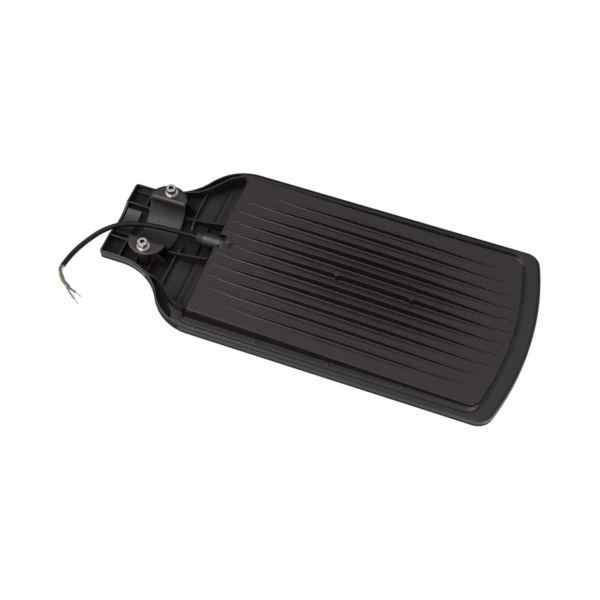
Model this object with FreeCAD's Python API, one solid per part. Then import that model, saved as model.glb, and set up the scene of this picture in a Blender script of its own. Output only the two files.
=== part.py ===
import FreeCAD, Part

import math
import os

# LED street light head for a slip-over pole clamp, lying on its light side.
# Frame: +X runs from the neck to the far end, +Z is up out of the finned back.
# The origin is under the middle of the housing, on the face that it lies on.
# Everything is in millimetres.

V = FreeCAD.Vector

# Housing, seen from above
LENGTH = 567.0
WIDTH = 261.4
NECK_WIDTH = 120.4
FLARE_START = 30.6
FLARE_INNER_R = 74.5
FLARE_OUTER_R = 68.0
END_R = 386.5
END_CORNER_R = 22.5
NECK_CORNER_R = 4.5

# Housing, in section
RIM_HEIGHT = 16.0
RIM_TOP_R = 2.2
RIM_BOTTOM_R = 4.0
NECK_WALL = 3.0
NECK_FLOOR = 3.0
BODY_FLOOR_Z = 8.0
BODY_FLOOR = 2.5
RECESS_WALL = 16.0
RECESS_CORNER_R = 40.0

# Finned back cover
COVER_X = 141.4
COVER_SIDE_GAP = 9.2
COVER_HALF_WIDTH = WIDTH / 2.0 - COVER_SIDE_GAP
COVER_END_GAP = 21.3
COVER_CORNER_R = 16.0
COVER_LEFT_R = 9.0
COVER_FLANGE = 2.5
COVER_FIT = 0.3
BLOCK_SIDE_GAP = 7.4
BLOCK_HALF_WIDTH = COVER_HALF_WIDTH - BLOCK_SIDE_GAP
BLOCK_END_GAP = 24.3
BLOCK_CORNER_R = 15.0
BLOCK_LEFT_GAP = 0.4
BLOCK_FOOT = 1.0
BLOCK_LEFT_R = 4.0
BLOCK_BULGE = 2.5
BLOCK_DRAFT = 3.0
BLOCK_WALL = 3.0
PLATE_LEFT_Z = 31.4
PLATE_SLOPE = 0.0359
PLATE_THICK = 2.5
PLATE_EDGE_R = 1.2

# Fins, from the middle outwards: start from the neck end, end from the far end, crown height
FIN_PITCH = 18.0
FIN_THICK = 2.0
FIN_ROOT = 0.6
FIN_COVE = 2.0
FIN_COVE_SHARES = [0.03, 0.10, 0.90, 0.97]
FINS = [
    (166.0, 28.8, 12.4),
    (149.7, 29.8, 12.2),
    (150.7, 32.8, 11.5),
    (152.2, 36.3, 9.6),
    (160.7, 44.3, 8.2),
    (191.2, 57.8, 7.4),
]
EJECTOR_R = 3.4
EJECTOR_STATIONS = [309.2, 409.2]

# Cover screws
COVER_SCREW_Y = COVER_HALF_WIDTH - 3.7
COVER_SCREW_PITCH = 96.5
COVER_SCREW_FIRST = 240.7
COVER_SCREW_CLEAR = 20.0
COVER_CORNER_SCREW_GAP = 39.8
COVER_CORNER_SCREW_Y = COVER_HALF_WIDTH - 12.5
M3_R = 1.5
M3_HEAD_R = 2.75
M3_HEAD = 1.8
M3_HEAD_CLEARANCE = 0.4
M3_HOLE_R = 1.7
M3_HEX = 2.0
M3_HEX_DEPTH = 1.0
M3_DEPTH = 6.0

# Neck tray, stations measured from the neck end
RIB_Y = 29.0
RIB_THICK = 2.5
RIB_TOPS = [(0.0, 14.0), (29.2, 13.0), (85.2, 15.2), (114.2, 20.0), (140.2, 26.5)]
NOTCH_Z = 7.4
NOTCH_R = 60.0
PAD_START = 5.0
PAD_LENGTH = 25.2
PAD_HALF_WIDTH = 20.5
WEB = 2.2
POCKET_WEB_X = 26.2
POCKET_WEB_TOP = 12.5
BOSS_WEB_GAP = 10.0
BOSS_WEB_TOP = 11.0
GUSSET_SHOULDER = 18.0
CROSS_WEB_X = 96.2
CROSS_WEB_TOP = 11.5
CRADLE_X = 98.7
CRADLE_TOP = 18.0
CRADLE_R = 29.0
CRADLE_BOTTOM = 7.5
GLAND_PAD_END = 119.2
GLAND_PAD_TOP = 8.0
SHELF_X = 124.2
SHELF_TOP = 6.5
DRAIN_X = 116.9
DRAIN_Y = 70.8
DRAIN_R = 1.1
DRAIN_DEPTH = 1.2
LEDGE_WIDTH = 5.5
LEDGE_TOP = 8.0

# Shoulder walls between the neck tray and the cover's corners: station, gap inside the outline
SHOULDER_ARC_END = 66.0
SHOULDER = [
    (76.3, 6.2),
    (84.0, 10.9),
    (91.0, 16.0),
    (97.0, 21.5),
    (102.4, 24.6),
    (107.3, 25.2),
    (112.5, 24.4),
    (121.0, 21.9),
    (130.5, 20.8),
    (COVER_X, 20.2),
]
SHOULDER_THICK = 2.0
SHOULDER_LAP = 1.0
SHOULDER_DRAFT = 0.13
SHOULDER_RISE_START = 71.2
SHOULDER_RISE_END = 145.2
TRENCH_START = 77.0
TRENCH_END = [(118.7, 17.0), (125.2, 12.1), (134.0, -5.0)]

# Pole clamp
BOLT_X = 60.2
BOLT_Y = NECK_WIDTH / 2.0 - 13.9
EAR_Z = 36.5
SADDLE_LENGTH = 49.0
SADDLE_THICK = 2.5
SADDLE_R = 33.0
SADDLE_RISE = 2.5
SADDLE_BEND_R = 4.0
EAR_SIDE = NECK_WIDTH / 2.0 - 18.8
EAR_REACH = NECK_WIDTH / 2.0 - 2.6
BOSS_R = 8.0
BOLT_R = 4.0
BOLT_HOLE_R = 4.5
BOLT_LENGTH = 25.0
BOLT_HEAD_R = 6.5
BOLT_HEAD = 8.0
BOLT_HEAD_CHAMFER = 0.8
BOLT_CLEARANCE = 0.3
HEX_SOCKET = 6.0
HEX_SOCKET_DEPTH = 4.0
WASHER_BORE_R = 4.2
WASHER_R = 8.4
WASHER = 1.6
SPRING_WASHER_R = 6.9
SPRING_WASHER = 2.0
SPRING_WASHER_SPLIT = 1.2
INSERT_R = 5.5
INSERT_LENGTH = 16.0

# Cable gland, stations measured from the neck end
GLAND_Z = 23.0
POCKET_HALF_WIDTH = 10.6
POCKET_END = 153.8
POCKET_CORNER_R = 0.5
POCKET_WALL = 2.5
GLAND_BOSS = 12.0
GLAND_BOSS_HALF_WIDTH = 9.0
GLAND_MOUTH = 115.9
GLAND_CAP_START = 124.2
GLAND_CAP_END = 150.2
GLAND_CAP_R = 9.6
GLAND_CAP_CHAMFER = 1.0
GLAND_SEAL_R = 7.4
GLAND_SEAL_LENGTH = 21.3
GLAND_HEX = 17.0
GLAND_HEX_LENGTH = 2.4
GLAND_BORE_R = 4.0
GLAND_THREAD_R = 6.0
GLAND_THREAD = 8.5
GLAND_WASHER_R = 8.2
GLAND_WASHER = 1.2
LOCK_BOSS_R = 5.6
LOCK_BOSS_RISE = 1.4
LOCK_SCREW_X = 159.6
LOCK_SCREW_R = 2.0
LOCK_HEAD_R = 3.5
LOCK_HEAD = 2.2
LOCK_HEX = 2.5
LOCK_HEX_DEPTH = 1.4

# Supply cable and its cores
CABLE_R = 3.5
CORE_R = 1.3
CONDUCTOR_R = 0.55
CONDUCTOR_LENGTH = 10.0
CORE_SPREAD = 1.7
CABLE_END = 172.2
ARC_SHARE = 0.45
CABLE_ROUTE = [
    (-167.6, 0.0, 23.0),
    (-178.5, 0.0, 23.0),
    (-203.8, 0.7, 19.8),
    (-228.8, -0.1, 18.6),
    (-252.3, -3.7, 17.6),
    (-275.3, -11.6, 16.2),
    (-295.6, -26.4, 11.6),
    (-312.0, -48.4, 4.8),
    (-321.0, -72.6, 3.5),
    (-323.0, -90.5, 3.5),
]
BLUE_ROUTE = [
    (-324.5, -90.33, 4.4),
    (-325.06, -95.3, 4.4),
    (-323.1, -99.9, 5.15),
    (-317.3, -104.5, 5.1),
    (-313.2, -109.9, 5.0),
    (-306.8, -113.6, 3.75),
    (-300.9, -116.4, 2.5),
]
BROWN_ROUTE = [
    (-321.5, -90.67, 4.4),
    (-322.06, -95.64, 4.4),
    (-320.3, -100.7, 2.7),
    (-315.3, -105.3, 1.4),
    (-311.2, -110.3, 1.3),
    (-306.4, -116.3, 1.3),
    (-300.5, -121.3, 1.35),
    (-294.6, -126.1, 1.3),
    (-287.5, -130.6, 1.3),
]
EARTH_ROUTE = [
    (-323.0, -90.5, 1.75),
    (-323.56, -95.47, 1.75),
    (-322.6, -101.3, 1.35),
    (-318.6, -107.0, 1.55),
    (-314.2, -111.4, 1.8),
    (-310.1, -114.8, 3.5),
    (-304.8, -118.0, 4.4),
    (-299.0, -119.9, 4.1),
    (-293.8, -120.8, 3.3),
    (-288.8, -122.3, 2.6),
]

# Light side
LENS_FIT = 0.5
LENS_Z = 3.4
LENS_THICK = 2.2
LED_BOARD = 1.6
LED_SIZE = 5.0
LED_PITCH_X = 42.0
LED_PITCH_Y = 46.0
LED_EDGE = 20.0
LENS_R = 9.0
LENS_TIP_R = 5.5
LENS_RISE = 2.4
BOARD_MARGIN = 15.0
LENS_GASKET_INSET = 10.0
LENS_GASKET_WIDTH = 4.0
FRAME_WIDTH = 12.0
FRAME_THICK = 1.6
FRAME_SCREW_SIDE_COUNT = 5
FRAME_SCREW_HEAD = 1.4
FRAME_SCREW_LENGTH = 7.2
FRAME_POST_R = 3.0
COVER_GASKET_INSET = 1.2
COVER_GASKET_WIDTH = 1.6
COVER_GASKET = 1.2

# Driver and wiring
DRIVER_START = 213.2
DRIVER_LENGTH = 118.0
DRIVER_WIDTH = 56.0
DRIVER_HEIGHT = 11.0
DRIVER_SHEET = 1.0
DRIVER_EAR = 8.0
DRIVER_EAR_WIDTH = 16.0
DRIVER_SCREW_DEPTH = 1.8
STANDOFF_R = 2.0
STANDOFF = 2.0
STANDOFF_INSET = 5.0
DRIVER_BOARD = 1.6
DRIVER_BOARD_GAP = 0.5
TRANSFORMER_SIZE = (24.0, 22.0, 5.2)
CAPACITOR_R = 2.6
CAPACITOR_LENGTH = 16.0
TERMINAL_START = 185.2
TERMINAL_LENGTH = 14.0
TERMINAL_WIDTH = 24.0
TERMINAL_HEIGHT = 9.0
TERMINAL_PITCH = 7.0
TERMINAL_SCREW_R = 2.2
TERMINAL_SCREW_DEPTH = 3.0
TERMINAL_RAIL = 3.0
LEAD_R = 0.9
LEAD_Z = 14.5
LED_LEAD_Y = 1.6
GROMMET_REACH = 22.0
GROMMET_R = 4.0
GROMMET_FLANGE_R = 5.5
GROMMET_FLANGE = 1.0

NECK_X = -LENGTH / 2.0
END_X = LENGTH / 2.0
FLARE_ANGLE = math.acos(1.0 - (WIDTH - NECK_WIDTH) / 2.0 / (FLARE_INNER_R + FLARE_OUTER_R))
FLARE_END_X = NECK_X + FLARE_START + (FLARE_INNER_R + FLARE_OUTER_R) * math.sin(FLARE_ANGLE)
SEAT_Z = BODY_FLOOR_Z + BODY_FLOOR
COVER_LEFT_X = NECK_X + COVER_X
PLATE_TOP_REACH = 60.0
EAR_BOTTOM = EAR_Z - SADDLE_THICK
INSERT_BOTTOM = EAR_BOTTOM - INSERT_LENGTH
BOLT_SEAT = EAR_Z + WASHER + SPRING_WASHER
BOLT_TIP = BOLT_SEAT - BOLT_LENGTH
LENS_TOP = LENS_Z + LENS_THICK
FRAME_BOTTOM = LENS_Z - FRAME_THICK
FRAME_SCREW_TIP = FRAME_BOTTOM + FRAME_SCREW_LENGTH
BOARD_BOTTOM = BODY_FLOOR_Z - LED_BOARD
GROMMET_X = NECK_X + DRIVER_START + DRIVER_LENGTH + GROMMET_REACH
DRIVER_WALL_TOP = SEAT_Z + DRIVER_HEIGHT - DRIVER_SHEET
LOCK_SEAT = PLATE_LEFT_Z + LOCK_BOSS_RISE
LOCK_TIP = GLAND_Z + GLAND_THREAD_R


def station(distance):
    """x of a place that is measured from the neck end."""
    return NECK_X + distance


def plate_z(x):
    """Height of the cover's flat back, which falls gently towards the far end."""
    return PLATE_LEFT_Z - PLATE_SLOPE * (x - COVER_LEFT_X)


def line(a, b):
    return Part.LineSegment(a, b).toShape()


def arc(a, middle, b):
    return Part.Arc(a, middle, b).toShape()


def centred_arc(centre, radius, start, end):
    """Arc in a level plane, angles in radians."""
    points = []
    for angle in (start, (start + end) / 2.0, end):
        points.append(centre + V(radius * math.cos(angle), radius * math.sin(angle), 0))
    return arc(*points)


def mirrored(edges):
    """The same edges on the other side of the X axis, in running order."""
    matrix = FreeCAD.Matrix()
    matrix.scale(1, -1, 1)
    return [edge.transformGeometry(matrix) for edge in edges]


def closed_face(edges):
    wire = Part.Wire(Part.__sortEdges__(edges))
    return Part.Face(wire)


def both_sides(shape):
    """The shape with its mirror image across the X axis."""
    return [shape, shape.mirror(V(0, 0, 0), V(0, 1, 0))]


def slab(face, bottom, top):
    moved = face.copy()
    moved.translate(V(0, 0, bottom))
    return moved.extrude(V(0, 0, top - bottom))


def box(x0, x1, y0, y1, z0, z1):
    return Part.makeBox(x1 - x0, y1 - y0, z1 - z0, V(x0, y0, z0))


def post(radius, x, y, bottom, top):
    return Part.makeCylinder(radius, top - bottom, V(x, y, bottom))


def hexagon(across_flats, height, place, direction):
    """Hexagonal prism from its across-flats size."""
    radius = across_flats / math.sqrt(3.0)
    corners = []
    for turn in range(7):
        angle = math.radians(60.0 * turn)
        corners.append(V(radius * math.cos(angle), radius * math.sin(angle), 0))
    prism = Part.Face(Part.makePolygon(corners)).extrude(V(0, 0, height))
    prism.Placement = FreeCAD.Placement(place, FreeCAD.Rotation(V(0, 0, 1), direction))
    return prism


def end_arc_point(end_gap, corner_r, half_width, inset):
    """Centres and touching points of the crowned end and its corner."""
    centre = V(END_X - end_gap - END_R, 0, 0)
    reach = END_R - corner_r
    rise = half_width - corner_r
    corner = V(centre.x + math.sqrt(reach * reach - rise * rise), rise, 0)
    outward = (corner - centre).normalize()
    on_side = V(corner.x, half_width - inset, 0)
    on_end = centre + outward * (END_R - inset)
    middle_way = (outward + V(0, 1, 0)).normalize()
    on_corner = corner + middle_way * (corner_r - inset)
    return on_side, on_corner, on_end


def housing_half_outline(inset):
    """Edges of the housing's outline on the +Y side, from the neck end to the far end."""
    half_neck = NECK_WIDTH / 2.0 - inset
    neck_x = NECK_X + inset
    corner_r = max(NECK_CORNER_R - inset, 0.8)
    corner = V(neck_x + corner_r, half_neck - corner_r, 0)
    flare_x = NECK_X + FLARE_START
    inner_centre = V(flare_x, NECK_WIDTH / 2.0 + FLARE_INNER_R, 0)
    outer_centre = V(FLARE_END_X, WIDTH / 2.0 - FLARE_OUTER_R, 0)
    quarter = math.pi / 2.0
    on_side, on_corner, on_end = end_arc_point(0.0, END_CORNER_R, WIDTH / 2.0, inset)
    tip = V(END_X - inset, 0, 0)
    return [
        line(V(neck_x, 0, 0), V(neck_x, half_neck - corner_r, 0)),
        centred_arc(corner, corner_r, math.pi, quarter),
        line(V(neck_x + corner_r, half_neck, 0), V(flare_x, half_neck, 0)),
        centred_arc(inner_centre, FLARE_INNER_R + inset, -quarter, -quarter + FLARE_ANGLE),
        centred_arc(outer_centre, FLARE_OUTER_R - inset, quarter + FLARE_ANGLE, quarter),
        line(V(FLARE_END_X, WIDTH / 2.0 - inset, 0), on_side),
        arc(on_side, on_corner, on_end),
        arc(on_end, end_arc_between(on_end, tip, inset), tip),
    ]


def end_arc_between(start, tip, inset, end_gap=0.0):
    """Point halfway along the crowned end between its corner and the axis."""
    centre = V(END_X - end_gap - END_R, 0, 0)
    way = ((start - centre).normalize() + (tip - centre).normalize()).normalize()
    return centre + way * (END_R - inset)


def housing_face(inset):
    half = housing_half_outline(inset)
    return closed_face(half + mirrored(half))


def half_width_at(x):
    """Half-width of the housing's outline at x, over the neck and its flare."""
    flare_x = NECK_X + FLARE_START
    turn_x = flare_x + FLARE_INNER_R * math.sin(FLARE_ANGLE)
    if x <= flare_x:
        return NECK_WIDTH / 2.0
    if x <= turn_x:
        reach = math.sqrt(FLARE_INNER_R ** 2 - (x - flare_x) ** 2)
        return NECK_WIDTH / 2.0 + FLARE_INNER_R - reach
    if x <= FLARE_END_X:
        reach = math.sqrt(FLARE_OUTER_R ** 2 - (FLARE_END_X - x) ** 2)
        return WIDTH / 2.0 - FLARE_OUTER_R + reach
    return WIDTH / 2.0


def panel_face(left, half_width, end_gap, left_r, right_r, inset=0.0, bulge=0.0):
    """Rounded panel with a straight or bulging left end and a crowned right end."""
    left_x = left + inset
    corner_r = max(left_r - inset, 0.8)
    corner = V(left_x + corner_r, half_width - inset - corner_r, 0)
    low = V(left_x, -(half_width - inset - corner_r), 0)
    high = V(left_x, half_width - inset - corner_r, 0)
    on_side, on_corner, on_end = end_arc_point(end_gap, right_r, half_width, inset)
    tip = V(END_X - end_gap - inset, 0, 0)
    half = [
        centred_arc(corner, corner_r, math.pi, math.pi / 2.0),
        line(V(corner.x, half_width - inset, 0), on_side),
        arc(on_side, on_corner, on_end),
    ]
    if bulge > 0.0:
        left_edge = arc(low, V(left_x - bulge, 0, 0), high)
    else:
        left_edge = line(low, high)
    end_low = V(on_end.x, -on_end.y, 0)
    return closed_face(half + mirrored(half) + [left_edge, arc(on_end, tip, end_low)])


def smooth(t):
    """Rises gently from 0 to 1 as t goes from 0 to 1."""
    t = min(max(t, 0.0), 1.0)
    return t * t * (3.0 - 2.0 * t)


def inside_outline(places):
    """Points on the +Y side from their stations and their gaps inside the housing's outline."""
    points = []
    for distance, gap in places:
        x = station(distance)
        points.append(V(x, half_width_at(x) - gap, 0))
    return points


def shoulder_top(x):
    """Height of the shoulder wall, which climbs from the rim to the corner of the cover's back."""
    share = (x - station(SHOULDER_RISE_START)) / (SHOULDER_RISE_END - SHOULDER_RISE_START)
    return RIM_HEIGHT + 0.1 + (PLATE_LEFT_Z - RIM_HEIGHT - 1.0) * smooth(share)


def tray_face():
    """Outline of the hollow in the neck, which opens out between the two shoulder walls."""
    straight_end = station(SHOULDER_ARC_END)
    left = NECK_X + NECK_WALL
    half_neck = NECK_WIDTH / 2.0 - NECK_WALL
    flare_x = NECK_X + FLARE_START
    centre = V(flare_x, NECK_WIDTH / 2.0 + FLARE_INNER_R, 0)
    radius = FLARE_INNER_R + NECK_WALL
    turn = math.asin((straight_end - flare_x) / radius)
    start = V(straight_end, centre.y - radius * math.cos(turn), 0)
    points = [start] + inside_outline(SHOULDER)
    wall = Part.BSplineCurve()
    wall.interpolate(points)
    half = [
        line(V(left, 0, 0), V(left, half_neck, 0)),
        line(V(left, half_neck, 0), V(flare_x, half_neck, 0)),
        centred_arc(centre, radius, -math.pi / 2.0, -math.pi / 2.0 + turn),
        wall.toShape(),
        line(points[-1], V(COVER_LEFT_X, 0, 0)),
    ]
    return closed_face(half + mirrored(half))


def shoulder_ways():
    """Points along the shoulder wall's inner face, each with the level direction out of the wall."""
    points = inside_outline(SHOULDER)
    ways = []
    for number, point in enumerate(points):
        before = points[max(number - 1, 0)]
        after = points[min(number + 1, len(points) - 1)]
        along = (after - before).normalize()
        ways.append((point, V(-along.y, along.x, 0)))
    return ways


def shoulder():
    """Curved wall that leads the cover's corner into the neck, on the +Y side."""
    sections = []
    for point, outward in shoulder_ways():
        top = shoulder_top(point.x)
        foot = SHOULDER_THICK + (top - RIM_HEIGHT) * SHOULDER_DRAFT
        inner = point - outward * SHOULDER_LAP
        low = NECK_FLOOR - 0.5
        corners = [
            inner + V(0, 0, low),
            inner + V(0, 0, top),
            point + outward * SHOULDER_THICK + V(0, 0, top),
            point + outward * foot + V(0, 0, RIM_HEIGHT),
            point + outward * foot + V(0, 0, low),
            inner + V(0, 0, low),
        ]
        sections.append(Part.makePolygon(corners))
    return Part.makeLoft(sections, True, False)


def trench():
    """Hollow between the shoulder wall and the rim, on the +Y side."""
    end_points = inside_outline(TRENCH_END)
    points = []
    for point, outward in shoulder_ways():
        if point.x < end_points[0].x - SHOULDER_THICK:
            points.append(point + outward * (SHOULDER_THICK / 2.0))
    points += end_points
    points.append(V(station(TRENCH_START), end_points[-1].y, 0))
    points.append(points[0])
    hollow = slab(Part.Face(Part.makePolygon(points)), NECK_FLOOR, RIM_HEIGHT + 1.0)
    return hollow.common(slab(housing_face(NECK_WALL), NECK_FLOOR, RIM_HEIGHT + 1.0))


def rounded_block(face, height):
    """Housing blank with its upper and lower outer edges rounded."""
    solid = face.extrude(V(0, 0, height))
    low = []
    high = []
    for edge in solid.Edges:
        middle = edge.BoundBox
        if middle.ZMax < 0.01:
            low.append(edge)
        elif middle.ZMin > height - 0.01:
            high.append(edge)
    solid = solid.makeFillet(RIM_TOP_R, high)
    low = [edge for edge in solid.Edges if edge.BoundBox.ZMax < 0.01]
    return solid.makeFillet(RIM_BOTTOM_R, low)


def rib_between(side):
    """Long rib beside the pole channel, rising towards the cover."""
    points = [V(station(s), 0, z) for s, z in RIB_TOPS]
    points[-1] = V(COVER_LEFT_X - 0.6, 0, RIB_TOPS[-1][1])
    top = Part.BSplineCurve()
    top.interpolate(points)
    first = points[0]
    last = points[-1]
    low = NECK_FLOOR - 0.5
    edges = [
        top.toShape(),
        line(last, V(last.x, 0, low)),
        line(V(last.x, 0, low), V(first.x, 0, low)),
        line(V(first.x, 0, low), first),
    ]
    profile = closed_face(edges)
    profile.translate(V(0, side * RIB_Y - RIB_THICK / 2.0, 0))
    return profile.extrude(V(0, RIB_THICK, 0))


def channel_y():
    """Half-width between the two long ribs."""
    return RIB_Y - RIB_THICK / 2.0


def notch_cylinder(x0, x1):
    return Part.makeCylinder(NOTCH_R, x1 - x0, V(x0, 0, NOTCH_Z + NOTCH_R), V(1, 0, 0))


def neck_details():
    """Ribs, webs, pads and bosses that stand on the neck's floor, as one list."""
    low = NECK_FLOOR - 0.5
    wide = WIDTH / 2.0
    inner = channel_y()
    bolt_x = station(BOLT_X)
    details = []
    details.append(rib_between(1))
    details.append(rib_between(-1))

    pad = box(station(PAD_START), station(PAD_LENGTH), -PAD_HALF_WIDTH, PAD_HALF_WIDTH, low, RIM_HEIGHT)
    details.append(pad.cut(notch_cylinder(NECK_X, station(PAD_LENGTH + 1.0))))

    cradle = box(station(CRADLE_X), station(CRADLE_X) + RIB_THICK, -inner, inner, low, CRADLE_TOP)
    seat = Part.makeCylinder(CRADLE_R, 20.0, V(station(CRADLE_X) - 5.0, 0, CRADLE_BOTTOM + CRADLE_R),
                             V(1, 0, 0))
    details.append(cradle.cut(seat))
    details.append(box(station(CRADLE_X), station(GLAND_PAD_END), -inner, inner, low, GLAND_PAD_TOP))
    details.append(box(station(SHELF_X), COVER_LEFT_X - 0.5, -wide, wide, low, SHELF_TOP))

    webs = [
        (POCKET_WEB_X, RIB_Y, POCKET_WEB_TOP),
        (BOLT_X - BOSS_WEB_GAP, RIB_Y, BOSS_WEB_TOP),
        (BOLT_X + BOSS_WEB_GAP, RIB_Y, BOSS_WEB_TOP),
        (CROSS_WEB_X, RIB_Y, CROSS_WEB_TOP),
    ]
    for distance, start, top in webs:
        x = station(distance)
        details += both_sides(box(x - WEB / 2.0, x + WEB / 2.0, start, wide, low, top))

    half_neck = NECK_WIDTH / 2.0 - NECK_WALL
    ledge = box(NECK_X + 1.0, station(POCKET_WEB_X), half_neck - LEDGE_WIDTH, wide, low, LEDGE_TOP)
    details += both_sides(ledge)

    corners = [
        V(bolt_x, BOLT_Y - WEB / 2.0, low),
        V(bolt_x, BOLT_Y - WEB / 2.0, EAR_BOTTOM - 2.0),
        V(bolt_x + GUSSET_SHOULDER, BOLT_Y - WEB / 2.0, EAR_BOTTOM - 4.0),
        V(station(CROSS_WEB_X) - 2.0, BOLT_Y - WEB / 2.0, BOSS_WEB_TOP - 1.5),
        V(station(CROSS_WEB_X), BOLT_Y - WEB / 2.0, low),
        V(bolt_x, BOLT_Y - WEB / 2.0, low),
    ]
    gusset = Part.Face(Part.makePolygon(corners)).extrude(V(0, WEB, 0))
    details += both_sides(gusset)
    details += both_sides(post(BOSS_R, bolt_x, BOLT_Y, low, EAR_BOTTOM))
    return details


def cover_screw_places():
    """Places of the screws around the finned cover, on both sides."""
    corner_x = END_X - COVER_CORNER_SCREW_GAP
    places = [(corner_x, COVER_CORNER_SCREW_Y)]
    x = station(COVER_SCREW_FIRST)
    while x < corner_x - COVER_SCREW_CLEAR:
        places.append((x, COVER_SCREW_Y))
        x += COVER_SCREW_PITCH
    return [(x, side * y) for x, y in places for side in (1, -1)]


def recess_face(inset):
    """Outline of the light side's recess, or of a piece that sits in it."""
    left = COVER_LEFT_X + RECESS_WALL + inset
    half_width = WIDTH / 2.0 - RECESS_WALL - inset
    corner_r = RECESS_CORNER_R - inset
    return panel_face(left, half_width, RECESS_WALL + inset, corner_r, corner_r)


def frame_screw_places():
    """Places of the screws round the light side's frame."""
    edge = RECESS_WALL + LENS_FIT + FRAME_WIDTH / 2.0
    y = WIDTH / 2.0 - edge
    first = COVER_LEFT_X + RECESS_WALL + RECESS_CORNER_R + 6.0
    last = END_X - RECESS_WALL - RECESS_CORNER_R - 36.0
    places = []
    for count in range(FRAME_SCREW_SIDE_COUNT):
        x = first + (last - first) * count / (FRAME_SCREW_SIDE_COUNT - 1)
        places += [(x, y), (x, -y)]
    places.append((COVER_LEFT_X + edge, 0.0))
    places.append((END_X - edge, 0.0))
    return places


def block_base(inset):
    """Foot of the cover's block, where it stands on the flange."""
    return panel_face(COVER_LEFT_X + BLOCK_LEFT_GAP, BLOCK_HALF_WIDTH, BLOCK_END_GAP - BLOCK_FOOT,
                      BLOCK_LEFT_R, BLOCK_CORNER_R, inset)


def ring(outer, inner, bottom, top):
    """Flat ring between two outlines."""
    return slab(outer, bottom, top).cut(slab(inner, bottom - 1.0, top + 1.0))


def cover_gasket():
    """Seal in a groove under the block's wall."""
    outer = block_base(COVER_GASKET_INSET)
    inner = block_base(COVER_GASKET_INSET + COVER_GASKET_WIDTH)
    return ring(outer, inner, SEAT_Z - COVER_GASKET, SEAT_Z)


def housing():
    """One-piece cast housing: rim, neck tray with its ribs, floor and recesses."""
    solid = rounded_block(housing_face(0.0), RIM_HEIGHT)
    trenches = both_sides(trench())
    solid = solid.cut(Part.makeCompound(trenches))
    solid = solid.multiFuse(both_sides(shoulder()))
    high = RIM_HEIGHT + PLATE_TOP_REACH
    solid = solid.cut(slab(tray_face(), NECK_FLOOR, high))

    cover_hole = panel_face(COVER_LEFT_X, COVER_HALF_WIDTH, COVER_END_GAP, COVER_LEFT_R, COVER_CORNER_R)
    solid = solid.cut(slab(cover_hole, SEAT_Z, high))
    solid = solid.cut(slab(block_base(-COVER_FIT), SEAT_Z, high))
    solid = solid.cut(slab(recess_face(0.0), -1.0, BODY_FLOOR_Z))

    inside = slab(housing_face(1.2), NECK_FLOOR - 1.0, high)
    inside = inside.cut(box(COVER_LEFT_X - 0.4, END_X, -WIDTH, WIDTH, 0.0, high))
    inside = inside.cut(Part.makeCompound(trenches))
    details = neck_details()
    joined = details[0].multiFuse(details[1:])
    solid = solid.fuse(joined.common(inside))
    solid = solid.cut(notch_cylinder(NECK_X - 5.0, station(PAD_LENGTH)).common(
        box(NECK_X - 5.0, station(PAD_LENGTH), -channel_y(), channel_y(), NOTCH_Z, high)))

    holes = []
    for side in (1, -1):
        holes.append(post(INSERT_R, station(BOLT_X), side * BOLT_Y, INSERT_BOTTOM, high))
        holes.append(post(BOLT_R + BOLT_CLEARANCE, station(BOLT_X), side * BOLT_Y, BOLT_TIP - 1.0, high))
        holes.append(post(DRAIN_R, station(DRAIN_X), side * DRAIN_Y, NECK_FLOOR - DRAIN_DEPTH,
                          NECK_FLOOR + 1.0))
    for x, y in cover_screw_places():
        holes.append(post(M3_R, x, y, SEAT_Z - M3_DEPTH, high))
        holes.append(post(M3_HEAD_R + M3_HEAD_CLEARANCE, x, y, SEAT_Z + COVER_FLANGE, high))
    frame_posts = []
    for x, y in frame_screw_places():
        frame_posts.append(post(FRAME_POST_R, x, y, LENS_TOP, BODY_FLOOR_Z + 0.5))
        holes.append(post(M3_R, x, y, 0.0, FRAME_SCREW_TIP))
    for x in driver_screw_stations():
        holes.append(post(M3_R, x, 0.0, SEAT_Z - DRIVER_SCREW_DEPTH, SEAT_Z + 1.0))
    holes.append(post(GROMMET_R, GROMMET_X, 0.0, BODY_FLOOR_Z - 1.0, SEAT_Z + 1.0))
    solid = solid.multiFuse(frame_posts)
    solid = solid.cut(Part.makeCompound(holes))
    return solid.cut(cover_gasket()).removeSplitter()


def block(inset, top_drop):
    """The cover's drafted block below its sloping back, inset and lowered by these amounts."""
    reach = PLATE_LEFT_Z + 4.0 - SEAT_Z
    base = block_base(inset)
    crest = panel_face(COVER_LEFT_X + BLOCK_LEFT_GAP + BLOCK_DRAFT + BLOCK_BULGE,
                       BLOCK_HALF_WIDTH - BLOCK_DRAFT, BLOCK_END_GAP + BLOCK_FOOT / 2.0,
                       BLOCK_LEFT_R, BLOCK_CORNER_R, inset, BLOCK_BULGE)
    base.translate(V(0, 0, SEAT_Z))
    crest.translate(V(0, 0, SEAT_Z + reach))
    body = Part.makeLoft([base.OuterWire, crest.OuterWire], True, True)
    left = COVER_LEFT_X - 20.0
    right = END_X + 20.0
    high = PLATE_LEFT_Z + PLATE_TOP_REACH
    corners = [
        V(left, -WIDTH, plate_z(left) - top_drop),
        V(right, -WIDTH, plate_z(right) - top_drop),
        V(right, -WIDTH, high),
        V(left, -WIDTH, high),
        V(left, -WIDTH, plate_z(left) - top_drop),
    ]
    above = Part.Face(Part.makePolygon(corners)).extrude(V(0, 2.0 * WIDTH, 0))
    return body.cut(above)


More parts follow.
